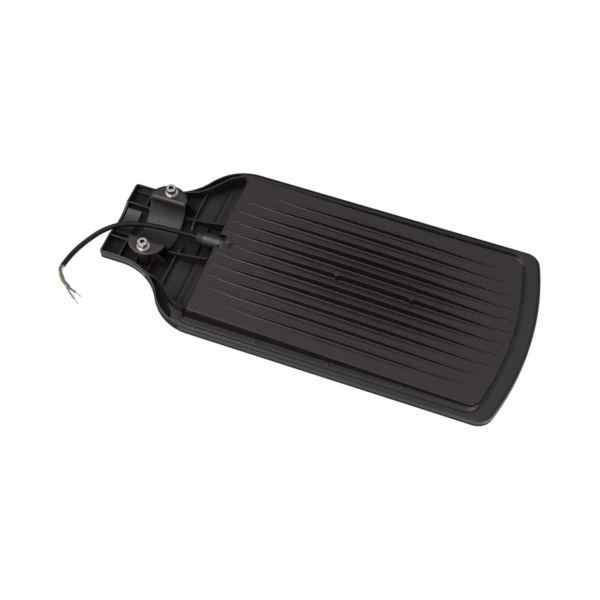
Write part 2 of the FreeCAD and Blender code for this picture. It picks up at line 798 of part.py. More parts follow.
def fin_cove(start, end_gap, crown, y, side):
    """Hollow corner along the foot of a fin on one of its sides, thinner towards both ends."""
    x0 = station(start)
    x1 = END_X - end_gap
    face_y = y + side * FIN_THICK / 2.0
    sections = []
    for share in FIN_COVE_SHARES:
        x = x0 + (x1 - x0) * share
        z = plate_z(x)
        r = min(FIN_COVE, 3.2 * crown * share * (1.0 - share))
        chord = r * (1.0 - math.sqrt(0.5))
        profile = [(-FIN_ROOT, -FIN_ROOT), (-FIN_ROOT, r), (0.0, r), (chord, chord), (r, 0.0),
                   (r, -FIN_ROOT), (-FIN_ROOT, -FIN_ROOT)]
        sections.append(Part.makePolygon([V(x, face_y + side * out, z + up) for out, up in profile]))
    return Part.makeLoft(sections, True, True)


def fin(start, end_gap, crown, y):
    """One crowned cooling fin, an arc over the sloping back."""
    x0 = station(start)
    x1 = END_X - end_gap
    middle = (x0 + x1) / 2.0
    edge_y = y - FIN_THICK / 2.0
    left = V(x0, edge_y, plate_z(x0))
    right = V(x1, edge_y, plate_z(x1))
    peak = V(middle, edge_y, plate_z(middle) + crown)
    left_low = left - V(0, 0, FIN_ROOT)
    right_low = right - V(0, 0, FIN_ROOT)
    edges = [arc(left, peak, right), line(right, right_low), line(right_low, left_low),
             line(left_low, left)]
    return closed_face(edges).extrude(V(0, FIN_THICK, 0))


def pocket(grow):
    """Pocket at the neck side of the cover that the cable gland sits in."""
    x1 = station(POCKET_END) + grow
    half = POCKET_HALF_WIDTH + grow
    radius = POCKET_CORNER_R + grow
    x0 = COVER_LEFT_X - 5.0
    low = SEAT_Z + COVER_FLANGE - grow
    solid = box(x0, x1, -half, half, low, PLATE_LEFT_Z + 20.0)
    edges = []
    for edge in solid.Edges:
        bounds = edge.BoundBox
        upright = bounds.ZLength > 1.0
        if upright and bounds.XMin > x1 - 0.01:
            edges.append(edge)
    return solid.makeFillet(radius, edges)


def gland_boss():
    """Thick place behind the pocket that the gland's thread screws into."""
    return box(station(POCKET_END) - 1.0, station(POCKET_END + GLAND_BOSS), -GLAND_BOSS_HALF_WIDTH,
               GLAND_BOSS_HALF_WIDTH, SEAT_Z, PLATE_LEFT_Z)


def along_gland(radius, start, end):
    """Round bar on the gland's axis between two stations."""
    return Part.makeCylinder(radius, end - start, V(station(start), 0, GLAND_Z), V(1, 0, 0))


def heat_sink_cover():
    """Cast cover: flange, drafted hollow block, sloping back, crowned fins and gland pocket."""
    flange = panel_face(COVER_LEFT_X, COVER_HALF_WIDTH, COVER_END_GAP, COVER_LEFT_R, COVER_CORNER_R,
                        COVER_FIT)
    solid = block(0.0, 0.0)
    top_edges = []
    for edge in solid.Edges:
        if edge.BoundBox.ZMin > SEAT_Z + 1.0 and edge.BoundBox.ZLength < edge.BoundBox.DiagonalLength * 0.1:
            top_edges.append(edge)
    solid = solid.makeFillet(PLATE_EDGE_R, top_edges)
    solid = solid.fuse(slab(flange, SEAT_Z, SEAT_Z + COVER_FLANGE))
    cavity = block(BLOCK_WALL, PLATE_THICK)
    cavity = cavity.cut(pocket(POCKET_WALL))
    cavity = cavity.cut(gland_boss())
    solid = solid.cut(cavity)
    solid = solid.cut(pocket(0.0))
    fins = []
    for number, (start, end_gap, crown) in enumerate(FINS):
        rows = [number * FIN_PITCH]
        if number > 0:
            rows.append(-number * FIN_PITCH)
        for y in rows:
            fins.append(fin(start, end_gap, crown, y))
            fins.append(fin_cove(start, end_gap, crown, y, 1))
            fins.append(fin_cove(start, end_gap, crown, y, -1))
    for distance in EJECTOR_STATIONS:
        x = station(distance)
        fins.append(post(EJECTOR_R, x, 0.0, plate_z(x) - FIN_ROOT, plate_z(x) + FINS[0][2] - 1.2))
    fins.append(post(LOCK_BOSS_R, station(LOCK_SCREW_X), 0.0, PLATE_LEFT_Z - PLATE_THICK, LOCK_SEAT))
    solid = solid.multiFuse(fins)
    solid = solid.cut(post(LOCK_SCREW_R, station(LOCK_SCREW_X), 0.0, GLAND_Z, LOCK_SEAT + 1.0))
    for x, y in cover_screw_places():
        solid = solid.cut(post(M3_HOLE_R, x, y, SEAT_Z - 1.0, SEAT_Z + COVER_FLANGE + 1.0))
        solid = solid.cut(post(M3_HEAD_R + M3_HEAD_CLEARANCE, x, y, SEAT_Z + COVER_FLANGE, PLATE_LEFT_Z))
    hole = along_gland(GLAND_THREAD_R, POCKET_END - 1.0, POCKET_END + GLAND_BOSS + 1.0)
    solid = solid.cut(hole)
    return solid.removeSplitter()


def clamp_saddle():
    """Bent strap with a half-round trough for the pole and a rounded ear on each side."""
    outer_r = SADDLE_R + SADDLE_THICK
    inner_bend = SADDLE_BEND_R - SADDLE_THICK
    trough = V(0, 0, EAR_Z + SADDLE_RISE)
    reach = SADDLE_R + SADDLE_BEND_R
    drop = SADDLE_RISE + SADDLE_BEND_R
    centre = V(0, math.sqrt(reach * reach - drop * drop), EAR_Z - SADDLE_BEND_R)
    to_trough = (trough - centre).normalize()
    to_bend_top = (to_trough + V(0, 0, 1)).normalize()
    down = V(0, 0, -1)
    halfway = (down - to_trough).normalize()
    half = [
        arc(trough + down * SADDLE_R, trough + halfway * SADDLE_R, centre + to_trough * SADDLE_BEND_R),
        arc(centre + to_trough * SADDLE_BEND_R, centre + to_bend_top * SADDLE_BEND_R,
            centre + V(0, 0, SADDLE_BEND_R)),
        line(centre + V(0, 0, SADDLE_BEND_R), V(0, EAR_REACH, EAR_Z)),
        line(V(0, EAR_REACH, EAR_Z), V(0, EAR_REACH, EAR_BOTTOM)),
        line(V(0, EAR_REACH, EAR_BOTTOM), centre + V(0, 0, inner_bend)),
        arc(centre + V(0, 0, inner_bend), centre + to_bend_top * inner_bend,
            centre + to_trough * inner_bend),
        arc(centre + to_trough * inner_bend, trough + halfway * outer_r, trough + down * outer_r),
    ]
    profile = closed_face(half + mirrored(half))
    start = station(BOLT_X) - SADDLE_LENGTH / 2.0
    profile.translate(V(start, 0, 0))
    strap = profile.extrude(V(SADDLE_LENGTH, 0, 0))

    middle = station(BOLT_X)
    left = middle - SADDLE_LENGTH / 2.0
    right = middle + SADDLE_LENGTH / 2.0
    outline = closed_face([
        line(V(left, -EAR_SIDE, 0), V(left, EAR_SIDE, 0)),
        arc(V(left, EAR_SIDE, 0), V(middle, EAR_REACH, 0), V(right, EAR_SIDE, 0)),
        line(V(right, EAR_SIDE, 0), V(right, -EAR_SIDE, 0)),
        arc(V(right, -EAR_SIDE, 0), V(middle, -EAR_REACH, 0), V(left, -EAR_SIDE, 0)),
    ])
    strap = strap.common(slab(outline, 0.0, EAR_Z + 1.0))
    for side in (1, -1):
        strap = strap.cut(post(BOLT_HOLE_R, middle, side * BOLT_Y, EAR_BOTTOM - 1.0, EAR_Z + 1.0))
    return strap


def clamp_bolt(side):
    """Socket head bolt of the pole clamp."""
    x = station(BOLT_X)
    y = side * BOLT_Y
    top = BOLT_SEAT + BOLT_HEAD
    head = post(BOLT_HEAD_R, x, y, BOLT_SEAT, top)
    rims = [edge for edge in head.Edges if edge.BoundBox.ZMin > top - 0.01]
    head = head.makeChamfer(BOLT_HEAD_CHAMFER, rims)
    bolt = head.fuse(post(BOLT_R, x, y, BOLT_TIP, BOLT_SEAT))
    return bolt.cut(hexagon(HEX_SOCKET, HEX_SOCKET_DEPTH + 1.0, V(x, y, top - HEX_SOCKET_DEPTH), V(0, 0, 1)))


def flat_washer(side):
    x = station(BOLT_X)
    y = side * BOLT_Y
    disc = post(WASHER_R, x, y, EAR_Z, EAR_Z + WASHER)
    return disc.cut(post(WASHER_BORE_R, x, y, EAR_Z - 1.0, BOLT_SEAT))


def spring_washer(side):
    """Split ring under the bolt's head."""
    x = station(BOLT_X)
    y = side * BOLT_Y
    disc = post(SPRING_WASHER_R, x, y, EAR_Z + WASHER, BOLT_SEAT)
    disc = disc.cut(post(WASHER_BORE_R, x, y, EAR_Z, BOLT_SEAT + 1.0))
    half_split = SPRING_WASHER_SPLIT / 2.0
    return disc.cut(box(x - WASHER_R, x, y - half_split, y + half_split, EAR_Z, BOLT_SEAT + 1.0))


def threaded_insert(side):
    """Steel bush in the boss that the clamp bolt screws into."""
    x = station(BOLT_X)
    y = side * BOLT_Y
    bush = post(INSERT_R, x, y, INSERT_BOTTOM, EAR_BOTTOM)
    return bush.cut(post(BOLT_R, x, y, INSERT_BOTTOM - 1.0, EAR_Z))


def gland_body():
    """Gland body: front thread in the cap, hexagon, and rear thread in the cover's boss."""
    hex_start = POCKET_END - GLAND_WASHER - GLAND_HEX_LENGTH
    front = GLAND_MOUTH + GLAND_SEAL_LENGTH
    body = hexagon(GLAND_HEX, GLAND_HEX_LENGTH, V(station(hex_start), 0, GLAND_Z), V(1, 0, 0))
    body = body.fuse(along_gland(GLAND_THREAD_R, front, POCKET_END + GLAND_THREAD))
    return body.cut(along_gland(GLAND_BORE_R, front - 1.0, POCKET_END + GLAND_THREAD + 1.0))


def gland_cap():
    """Round cap nut that squeezes the seal onto the cable."""
    cap = along_gland(GLAND_CAP_R, GLAND_CAP_START, GLAND_CAP_END)
    rims = [edge for edge in cap.Edges if edge.BoundBox.XLength < 0.01]
    cap = cap.makeChamfer(GLAND_CAP_CHAMFER, rims)
    front = GLAND_MOUTH + GLAND_SEAL_LENGTH
    cap = cap.cut(along_gland(GLAND_SEAL_R, GLAND_CAP_START - 1.0, front))
    return cap.cut(along_gland(GLAND_THREAD_R, front, GLAND_CAP_END + 1.0))


def gland_lock_screw():
    """Short screw through the cover's boss that stops the gland from turning."""
    x = station(LOCK_SCREW_X)
    top = LOCK_SEAT + LOCK_HEAD
    head = post(LOCK_HEAD_R, x, 0.0, LOCK_SEAT, top)
    rims = [edge for edge in head.Edges if edge.BoundBox.ZMin > top - 0.01]
    head = head.makeFillet(LOCK_HEAD * 0.4, rims)
    lock = head.fuse(post(LOCK_SCREW_R, x, 0.0, LOCK_TIP, LOCK_SEAT))
    return lock.cut(hexagon(LOCK_HEX, LOCK_HEX_DEPTH + 1.0, V(x, 0, top - LOCK_HEX_DEPTH), V(0, 0, 1)))


def gland_seal():
    """Rubber bush that grips the cable and stands out of the cap."""
    front = GLAND_MOUTH + GLAND_SEAL_LENGTH
    seal = along_gland(GLAND_SEAL_R, GLAND_MOUTH, front)
    return seal.cut(along_gland(CABLE_R, GLAND_MOUTH - 1.0, front + 1.0))


def gland_washer():
    start = POCKET_END - GLAND_WASHER
    disc = along_gland(GLAND_WASHER_R, start, POCKET_END)
    return disc.cut(along_gland(GLAND_THREAD_R, start - 1.0, POCKET_END + 1.0))


def cord_path(route):
    """Straight runs joined by tangent arcs, each arc as large as its two runs allow."""
    points = [V(*place) for place in route]
    edges = []
    radii = []
    last = points[0]
    for before, point, after in zip(points, points[1:], points[2:]):
        back = before - point
        ahead = after - point
        shorter = min(back.Length, ahead.Length)
        turn = math.pi - back.getAngle(ahead)
        radius = ARC_SHARE * shorter / math.tan(turn / 2.0)
        back.normalize()
        ahead.normalize()
        start = point + back * (ARC_SHARE * shorter)
        end = point + ahead * (ARC_SHARE * shorter)
        bisector = (back + ahead).normalize()
        depth = radius / math.cos(turn / 2.0) - radius
        edges.append(line(last, start))
        edges.append(arc(start, point + bisector * depth, end))
        radii.append(round(radius, 1))
        last = end
    edges.append(line(last, points[-1]))
    return Part.Wire(edges), radii


def tube(path, route, radius):
    """Round bar swept along a path, square to its first run."""
    first = V(*route[0])
    direction = (V(*route[1]) - first).normalize()
    section = Part.Wire(Part.makeCircle(radius, first, direction))
    return path.makePipeShell([section], True, False)


def cord(route, radius):
    """Plain tube of a free cord, with its radii and its volume printed."""
    path, radii = cord_path(route)
    solid = tube(path, route, radius)
    expected = math.pi * radius * radius * path.Length
    print("cord length", round(path.Length, 1), "radii", radii, "volume", round(solid.Volume, 1),
          "section times length", round(expected, 1))
    return solid


def lead(route):
    """Thin lead inside the head."""
    path, radii = cord_path(route)
    print("lead length", round(path.Length, 1), "radii", radii)
    return tube(path, route, LEAD_R)


def bare_end(route):
    """Stripped end of a core, straight on from its last run."""
    end = V(*route[-1])
    direction = (end - V(*route[-2])).normalize()
    return Part.makeCylinder(CONDUCTOR_R, CONDUCTOR_LENGTH, end, direction)


def supply_cable_tail():
    """Stretch of the cable that the gland holds, as far as its end inside the cover."""
    return along_gland(CABLE_R, GLAND_MOUTH, CABLE_END)


def supply_leads():
    """The cable's three cores, from its inner end down to the terminal block."""
    leads = []
    start_x = station(CABLE_END)
    end_x = station(TERMINAL_START)
    span = end_x - start_x
    for number in (-1, 0, 1):
        start_y = number * CORE_SPREAD
        end_y = number * TERMINAL_PITCH
        start_z = GLAND_Z + CORE_SPREAD * (1.0 - abs(number)) - CORE_SPREAD / 2.0
        route = [
            (start_x, start_y, start_z),
            (start_x + span * 0.25, start_y, start_z),
            (end_x - span * 0.25, end_y, LEAD_Z),
            (end_x, end_y, LEAD_Z),
        ]
        leads.append(lead(route))
    return Part.makeCompound(leads)


def terminal_block():
    """Three-way screw terminal that stands on the housing's floor."""
    x0 = station(TERMINAL_START)
    x1 = station(TERMINAL_START + TERMINAL_LENGTH)
    half = TERMINAL_WIDTH / 2.0
    top = SEAT_Z + TERMINAL_HEIGHT
    solid = box(x0, x1, -half, half, SEAT_Z, SEAT_Z + TERMINAL_RAIL)
    middle = (x0 + x1) / 2.0
    for number in (-1, 0, 1):
        y = number * TERMINAL_PITCH
        cell = TERMINAL_PITCH / 2.0 - 0.5
        solid = solid.fuse(box(x0, x1, y - cell, y + cell, SEAT_Z, top))
        solid = solid.cut(post(TERMINAL_SCREW_R, middle, y, top - TERMINAL_SCREW_DEPTH, top + 1.0))
    return solid


def driver_input_leads():
    """Three leads from the terminal block to the driver."""
    start = station(TERMINAL_START + TERMINAL_LENGTH)
    leads = []
    for number in (-1, 0, 1):
        place = V(start, number * TERMINAL_PITCH, LEAD_Z)
        leads.append(Part.makeCylinder(LEAD_R, station(DRIVER_START) - start, place, V(1, 0, 0)))
    return Part.makeCompound(leads)


def driver_screw_stations():
    """x of the two screws that hold the driver, one in each ear."""
    half_ear = DRIVER_EAR / 2.0
    return [station(DRIVER_START - half_ear), station(DRIVER_START + DRIVER_LENGTH + half_ear)]


def driver_case():
    """Folded tray of the driver with a screw ear at each end."""
    x0 = station(DRIVER_START)
    x1 = station(DRIVER_START + DRIVER_LENGTH)
    half = DRIVER_WIDTH / 2.0
    sheet = DRIVER_SHEET
    tray = box(x0, x1, -half, half, SEAT_Z, DRIVER_WALL_TOP)
    tray = tray.cut(box(x0 + sheet, x1 - sheet, -half + sheet, half - sheet, SEAT_Z + sheet, PLATE_LEFT_Z))
    ear = DRIVER_EAR_WIDTH / 2.0
    tray = tray.fuse(box(x0 - DRIVER_EAR, x0, -ear, ear, SEAT_Z, SEAT_Z + sheet))
    tray = tray.fuse(box(x1, x1 + DRIVER_EAR, -ear, ear, SEAT_Z, SEAT_Z + sheet))
    standoffs = []
    for x in (x0 + STANDOFF_INSET, x1 - STANDOFF_INSET):
        for y in (-half + STANDOFF_INSET, half - STANDOFF_INSET):
            standoffs.append(post(STANDOFF_R, x, y, SEAT_Z + sheet - 0.5, SEAT_Z + sheet + STANDOFF))
    tray = tray.multiFuse(standoffs)
    for x in driver_screw_stations():
        tray = tray.cut(post(M3_HOLE_R, x, 0.0, SEAT_Z - 1.0, SEAT_Z + sheet + 1.0))
    return tray


def driver_lid():
    """Flat lid of the driver."""
    half = DRIVER_WIDTH / 2.0
    return box(station(DRIVER_START), station(DRIVER_START + DRIVER_LENGTH), -half, half,
               DRIVER_WALL_TOP, DRIVER_WALL_TOP + DRIVER_SHEET)


def driver_board():
    """The driver's circuit board with its transformer and two capacitors."""
    gap = DRIVER_SHEET + DRIVER_BOARD_GAP
    x0 = station(DRIVER_START) + gap
    x1 = station(DRIVER_START + DRIVER_LENGTH) - gap
    half = DRIVER_WIDTH / 2.0 - gap
    low = SEAT_Z + DRIVER_SHEET + STANDOFF
    top = low + DRIVER_BOARD
    board = box(x0, x1, -half, half, low, top)
    length, width, height = TRANSFORMER_SIZE
    middle = (x0 + x1) / 2.0
    board = board.fuse(box(middle - length / 2.0, middle + length / 2.0, -width / 2.0, width / 2.0,
                           top, top + height))
    for shift in (-CAPACITOR_LENGTH * 1.6, CAPACITOR_LENGTH * 1.6):
        start = V(middle + shift - CAPACITOR_LENGTH / 2.0, 0, top + CAPACITOR_R - 0.2)
        board = board.fuse(Part.makeCylinder(CAPACITOR_R, CAPACITOR_LENGTH, start, V(1, 0, 0)))
    return board


def screw(x, y, seat, head, tip):
    """Pan head screw from its seat to its tip, pointing down if the tip lies lower."""
    direction = 1.0 if seat > tip else -1.0
    shank = post(M3_R, x, y, min(seat, tip), max(seat, tip))
    low = min(seat, seat + direction * head)
    cap = post(M3_HEAD_R, x, y, low, low + head)
    outer = seat + direction * head
    rims = [edge for edge in cap.Edges if abs(edge.BoundBox.ZMin - outer) < 0.01
            and abs(edge.BoundBox.ZMax - outer) < 0.01]
    cap = cap.makeChamfer(head * 0.4, rims)
    floor = V(x, y, outer - direction * M3_HEX_DEPTH)
    recess = hexagon(M3_HEX, M3_HEX_DEPTH + 1.0, floor, V(0, 0, direction))
    return cap.fuse(shank).cut(recess)


def cover_screws():
    """Screws round the finned cover, as one group."""
    seat = SEAT_Z + COVER_FLANGE
    return Part.makeCompound([screw(x, y, seat, M3_HEAD, SEAT_Z - M3_DEPTH) for x, y in cover_screw_places()])


def frame_screws():
    """Screws of the light side's frame, as one group."""
    return Part.makeCompound([screw(x, y, FRAME_BOTTOM, FRAME_SCREW_HEAD, FRAME_SCREW_TIP)
                              for x, y in frame_screw_places()])


def driver_screws():
    seat = SEAT_Z + DRIVER_SHEET
    return Part.makeCompound([screw(x, 0.0, seat, M3_HEAD, SEAT_Z - DRIVER_SCREW_DEPTH)
                              for x in driver_screw_stations()])


def lead_grommet():
    """Rubber grommet in the floor that the light board's leads pass through."""
    solid = post(GROMMET_R, GROMMET_X, 0.0, BODY_FLOOR_Z, SEAT_Z)
    solid = solid.fuse(post(GROMMET_FLANGE_R, GROMMET_X, 0.0, SEAT_Z, SEAT_Z + GROMMET_FLANGE))
    for side in (1, -1):
        solid = solid.cut(post(LEAD_R, GROMMET_X, side * LED_LEAD_Y, BODY_FLOOR_Z - 1.0, SEAT_Z + 2.0))
    return solid


def led_leads():
    """Two leads from the driver through the grommet to the light board."""
    start = station(DRIVER_START + DRIVER_LENGTH)
    leads = []
    for side in (1, -1):
        y = side * LED_LEAD_Y
        route = [
            (start, y, LEAD_Z + STANDOFF),
            (GROMMET_X, y, LEAD_Z + STANDOFF),
            (GROMMET_X, y, BODY_FLOOR_Z),
        ]
        leads.append(lead(route))
    return Part.makeCompound(leads)


def led_places():
    """Places of the light-emitting chips, a grid about the middle of the recess."""
    edge = RECESS_WALL + BOARD_MARGIN + LED_EDGE
    columns = int((END_X - COVER_LEFT_X - 2.0 * edge) / LED_PITCH_X) + 1
    rows = int((WIDTH - 2.0 * edge) / LED_PITCH_Y) + 1
    middle = (COVER_LEFT_X + END_X) / 2.0
    places = []
    for row in range(rows):
        y = LED_PITCH_Y * (row - (rows - 1) / 2.0)
        for column in range(columns):
            places.append((middle + LED_PITCH_X * (column - (columns - 1) / 2.0), y))
    return places


def led_board():
    """Aluminium circuit board on the recess's ceiling."""
    return slab(recess_face(BOARD_MARGIN), BOARD_BOTTOM, BODY_FLOOR_Z)


def led_chips():
    """All chips on the board, as one group."""
    half = LED_SIZE / 2.0
    return Part.makeCompound([box(x - half, x + half, y - half, y + half, LENS_TOP, BOARD_BOTTOM)
                              for x, y in led_places()])


def lens_panel():
    """Clear front panel with a shallow raised lens below each chip."""
    solid = slab(recess_face(LENS_FIT), LENS_Z, LENS_TOP)
    lenses = [Part.makeCone(LENS_TIP_R, LENS_R, LENS_RISE, V(x, y, LENS_Z - LENS_RISE))
              for x, y in led_places()]
    solid = solid.multiFuse(lenses)
    holes = [post(M3_HOLE_R, x, y, LENS_Z - 1.0, LENS_TOP + 1.0) for x, y in frame_screw_places()]
    return solid.cut(Part.makeCompound(holes)).removeSplitter()


def lens_gasket():
    """Seal between the front panel and the recess's ceiling."""
    outer = recess_face(LENS_GASKET_INSET)
    inner = recess_face(LENS_GASKET_INSET + LENS_GASKET_WIDTH)
    return ring(outer, inner, LENS_TOP, BODY_FLOOR_Z)


def front_frame():
    """Flat frame that clamps the front panel."""
    solid = ring(recess_face(LENS_FIT), recess_face(LENS_FIT + FRAME_WIDTH), FRAME_BOTTOM, LENS_Z)
    holes = [post(M3_HOLE_R, x, y, 0.0, LENS_Z + 1.0) for x, y in frame_screw_places()]
    return solid.cut(Part.makeCompound(holes))


def save(name, shape):
    """Write one node and print what it holds."""
    solids = len(shape.Solids)
    bounds = shape.BoundBox
    shape.exportStep("parts/" + name + ".step")
    sizes = [bounds.XMin, bounds.XMax, bounds.YMin, bounds.YMax, bounds.ZMin, bounds.ZMax]
    print(name, solids, shape.isValid(), round(shape.Volume), [round(size, 1) for size in sizes])


os.makedirs("parts", exist_ok=True)
save("housing", housing())
save("heat_sink_cover", heat_sink_cover())
save("cover_gasket", cover_gasket())
save("cover_screws", cover_screws())
save("clamp_saddle", clamp_saddle())
for place, side in (("far", 1), ("near", -1)):
    save("clamp_bolt_" + place, clamp_bolt(side))
    save("spring_washer_" + place, spring_washer(side))
    save("flat_washer_" + place, flat_washer(side))
    save("threaded_insert_" + place, threaded_insert(side))
save("gland_body", gland_body())
save("gland_cap", gland_cap())
save("gland_seal", gland_seal())
save("gland_washer", gland_washer())
save("gland_lock_screw", gland_lock_screw())
save("supply_cable_tail", supply_cable_tail())
save("supply_cable", cord(CABLE_ROUTE, CABLE_R))
for colour, route in (("blue", BLUE_ROUTE), ("brown", BROWN_ROUTE), ("earth", EARTH_ROUTE)):
    save(colour + "_core", cord(route, CORE_R))
    save(colour + "_bare_end", bare_end(route))
save("supply_leads", supply_leads())
save("terminal_block", terminal_block())
save("driver_input_leads", driver_input_leads())
save("driver_case", driver_case())
save("driver_lid", driver_lid())
save("driver_board", driver_board())
save("driver_screws", driver_screws())
save("led_leads", led_leads())
save("lead_grommet", lead_grommet())
save("led_board", led_board())
save("led_chips", led_chips())
save("lens_panel", lens_panel())
save("lens_gasket", lens_gasket())
save("front_frame", front_frame())
save("frame_screws", frame_screws())
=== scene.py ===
import bpy
from mathutils import Matrix, Vector


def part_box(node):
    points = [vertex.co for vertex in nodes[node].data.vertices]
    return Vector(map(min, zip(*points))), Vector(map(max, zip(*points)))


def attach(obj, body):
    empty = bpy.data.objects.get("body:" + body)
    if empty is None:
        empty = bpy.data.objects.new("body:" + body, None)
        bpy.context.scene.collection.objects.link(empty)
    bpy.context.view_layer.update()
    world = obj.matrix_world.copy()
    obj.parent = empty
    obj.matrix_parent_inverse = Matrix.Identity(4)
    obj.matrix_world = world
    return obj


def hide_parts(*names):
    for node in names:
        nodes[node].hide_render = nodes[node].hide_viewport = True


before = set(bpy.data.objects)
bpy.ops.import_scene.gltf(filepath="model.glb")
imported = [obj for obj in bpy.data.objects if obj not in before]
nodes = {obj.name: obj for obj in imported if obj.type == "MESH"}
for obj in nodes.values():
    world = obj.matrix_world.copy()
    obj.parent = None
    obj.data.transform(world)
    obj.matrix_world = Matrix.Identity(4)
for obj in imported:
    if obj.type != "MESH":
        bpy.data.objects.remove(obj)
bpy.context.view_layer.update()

scene = bpy.context.scene

# %% [markdown]
# The camera looks from above the near long side, a little towards the far end, and down
# at about 57 degrees. It could be aimed with a constraint, but three directions solved
# from straight edges of the housing are exact, so they are written down and set as the
# camera's own axes.
# %% Camera
CAMERA_PLACE = Vector((0.27425, -0.8123, 1.3041))
CAMERA_RIGHT = Vector((0.9387, 0.3446, -0.0004))
CAMERA_UP = Vector((-0.2904, 0.7916, 0.5377))
CAMERA_FORWARD = Vector((-0.1856, 0.5047, -0.8431))
CAMERA_LENS = 71.85
SENSOR_WIDTH = 36.0
NEAREST_SEEN = 0.05
FARTHEST_SEEN = 100.0

camera_data = bpy.data.cameras.new("camera")
camera_data.lens = CAMERA_LENS
camera_data.sensor_width = SENSOR_WIDTH
camera_data.clip_start = NEAREST_SEEN
camera_data.clip_end = FARTHEST_SEEN
camera = bpy.data.objects.new("camera", camera_data)
scene.collection.objects.link(camera)
camera_axes = Matrix((CAMERA_RIGHT, CAMERA_UP, -CAMERA_FORWARD)).transposed().to_4x4()
camera.matrix_world = Matrix.Translation(CAMERA_PLACE) @ camera_axes
scene.camera = camera
print("camera at", tuple(round(value, 3) for value in camera.location))

# %% [markdown]
# Every surface of the head has a finish of its own, from satin casting coat to bright
# bolt steel. A finish could be a flat colour or a picture, but a graph of nodes keeps its
# detail at any distance. So each one starts as a Principled shader with a colour, a
# roughness and a share of metal, and the helpers below add its layers.
# %% A new finish
def shader_of(material):
    """The Principled shader of a finish."""
    return material.node_tree.nodes["Principled BSDF"]


def new_material(name, colour, roughness, metallic=0.0):
    """Material with one Principled shader; returns the material, its tree of nodes and the shader."""
    material = bpy.data.materials.new(name)
    material.use_nodes = True
    shader = shader_of(material)
    shader.inputs["Base Color"].default_value = (*colour, 1.0)
    shader.inputs["Roughness"].default_value = roughness
    shader.inputs["Metallic"].default_value = metallic
    return material, material.node_tree, shader


# %% [markdown]
# Many layers belong to a place on the head, such as low in the tray or at the cover's far
# end. Painted masks could mark those places, but the frame's coordinates already say
# where everything is, in metres, and follow the casting exactly. Noise reads the same
# coordinates, so a scale of 1000 is a grain of about a millimetre. Most of its values lie
# between 0.3 and 0.7. A range, of places or of levels, is kept as its two ends.
# %% Places, noise and ranges
USUAL_NOISE = (0.3, 0.7)


def place_coordinates(tree):
    """Texture coordinates in the frame's metres."""
    node = tree.nodes.new("ShaderNodeTexCoord")
    return node.outputs["Object"]


def along_axis(tree, axis):
    """One of the frame's coordinates, in metres."""
    node = tree.nodes.new("ShaderNodeSeparateXYZ")
    tree.links.new(place_coordinates(tree), node.inputs["Vector"])
    return node.outputs[axis]


def noise(tree, scale, detail):
    """Noise with so many grains in a metre; more detail adds finer grains on top."""
    node = tree.nodes.new("ShaderNodeTexNoise")
    node.inputs["Scale"].default_value = scale
    node.inputs["Detail"].default_value = detail
    tree.links.new(place_coordinates(tree), node.inputs["Vector"])
    return node.outputs["Fac"]


def remap(tree, value, low, high, from_low=USUAL_NOISE[0], from_high=USUAL_NOISE[1]):
    """The range from_low .. from_high of a value, stretched to low .. high and held there beyond it."""
    node = tree.nodes.new("ShaderNodeMapRange")
    node.inputs["From Min"].default_value = from_low
    node.inputs["From Max"].default_value = from_high
    node.inputs["To Min"].default_value = low
    node.inputs["To Max"].default_value = high
    tree.links.new(value, node.inputs["Value"])
    return node.outputs["Result"]


def above(tree, value, places):
    """Share that is 0 below a range of places, 1 above it, and climbs evenly across it."""
    return remap(tree, value, 0.0, 1.0, *places)


def below(tree, value, places):
    """Share that is 1 below a range of places, 0 above it, and drops evenly across it."""
    return remap(tree, value, 1.0, 0.0, *places)


# %% [markdown]
# A layer often lies where several things hold at once, such as deep down and near the
# long axis. Each of them is a share of 0 to 1. Shares could be joined by node groups
# made by hand, but a product for "both" and a maximum for "either" are enough, and one
# helper makes them all. Colours are mixed by such a share.
# %% Sums and mixed colours
def combine(tree, operation, *values):
    """Values and plain numbers through one arithmetic step."""
    node = tree.nodes.new("ShaderNodeMath")
    node.operation = operation
    for socket, value in zip(node.inputs, values):
        if isinstance(value, float):
            socket.default_value = value
        else:
            tree.links.new(value, socket)
    return node.outputs[0]


def both(tree, first, second):
    """Share of the places where two shares hold together."""
    return combine(tree, "MULTIPLY", first, second)


def distance_across(tree, x, y):
    """Distance in the plane of the table, from its two parts."""
    square = combine(tree, "ADD", combine(tree, "MULTIPLY", x, x), combine(tree, "MULTIPLY", y, y))
    return combine(tree, "SQRT", square)


def away_from_axis(tree):
    """Distance to the side of the head's long axis, the same on the far and the near side."""
    return combine(tree, "ABSOLUTE", along_axis(tree, "Y"))


def mix_colours(tree, share, first, second):
    """The first colour where the share is 0, the second where it is 1."""
    node = tree.nodes.new("ShaderNodeMix")
    node.data_type = "RGBA"
    for socket, colour in (("A", first), ("B", second)):
        target = [item for item in node.inputs if item.name == socket and item.type == "RGBA"][0]
        if isinstance(colour, tuple):
            target.default_value = (*colour, 1.0)
        else:
            tree.links.new(colour, target)
    tree.links.new(share, node.inputs["Factor"])
    return [item for item in node.outputs if item.type == "RGBA"][0]


# %% [markdown]
# No coated casting has a knife edge: the mould and the paint round it by a millimetre or
# more, and the paint's grain is only hundredths of a millimetre deep. Bevels and grain in
# the mesh would need millions of faces. So the grain is a bump of a real depth, and the
# edges are rounded by the normal alone, while the outline stays that of the casting.
# %% Grain and rounded edges
EDGE_SAMPLES = 16


def add_bump(tree, shader, height, depth, before=None):
    """Bump of a real depth in metres on the shader's normal."""
    node = tree.nodes.new("ShaderNodeBump")
    node.inputs["Strength"].default_value = 1.0
    node.inputs["Distance"].default_value = depth
    tree.links.new(height, node.inputs["Height"])
    if before is not None:
        tree.links.new(before, node.inputs["Normal"])
    tree.links.new(node.outputs["Normal"], shader.inputs["Normal"])
    return node.outputs["Normal"]


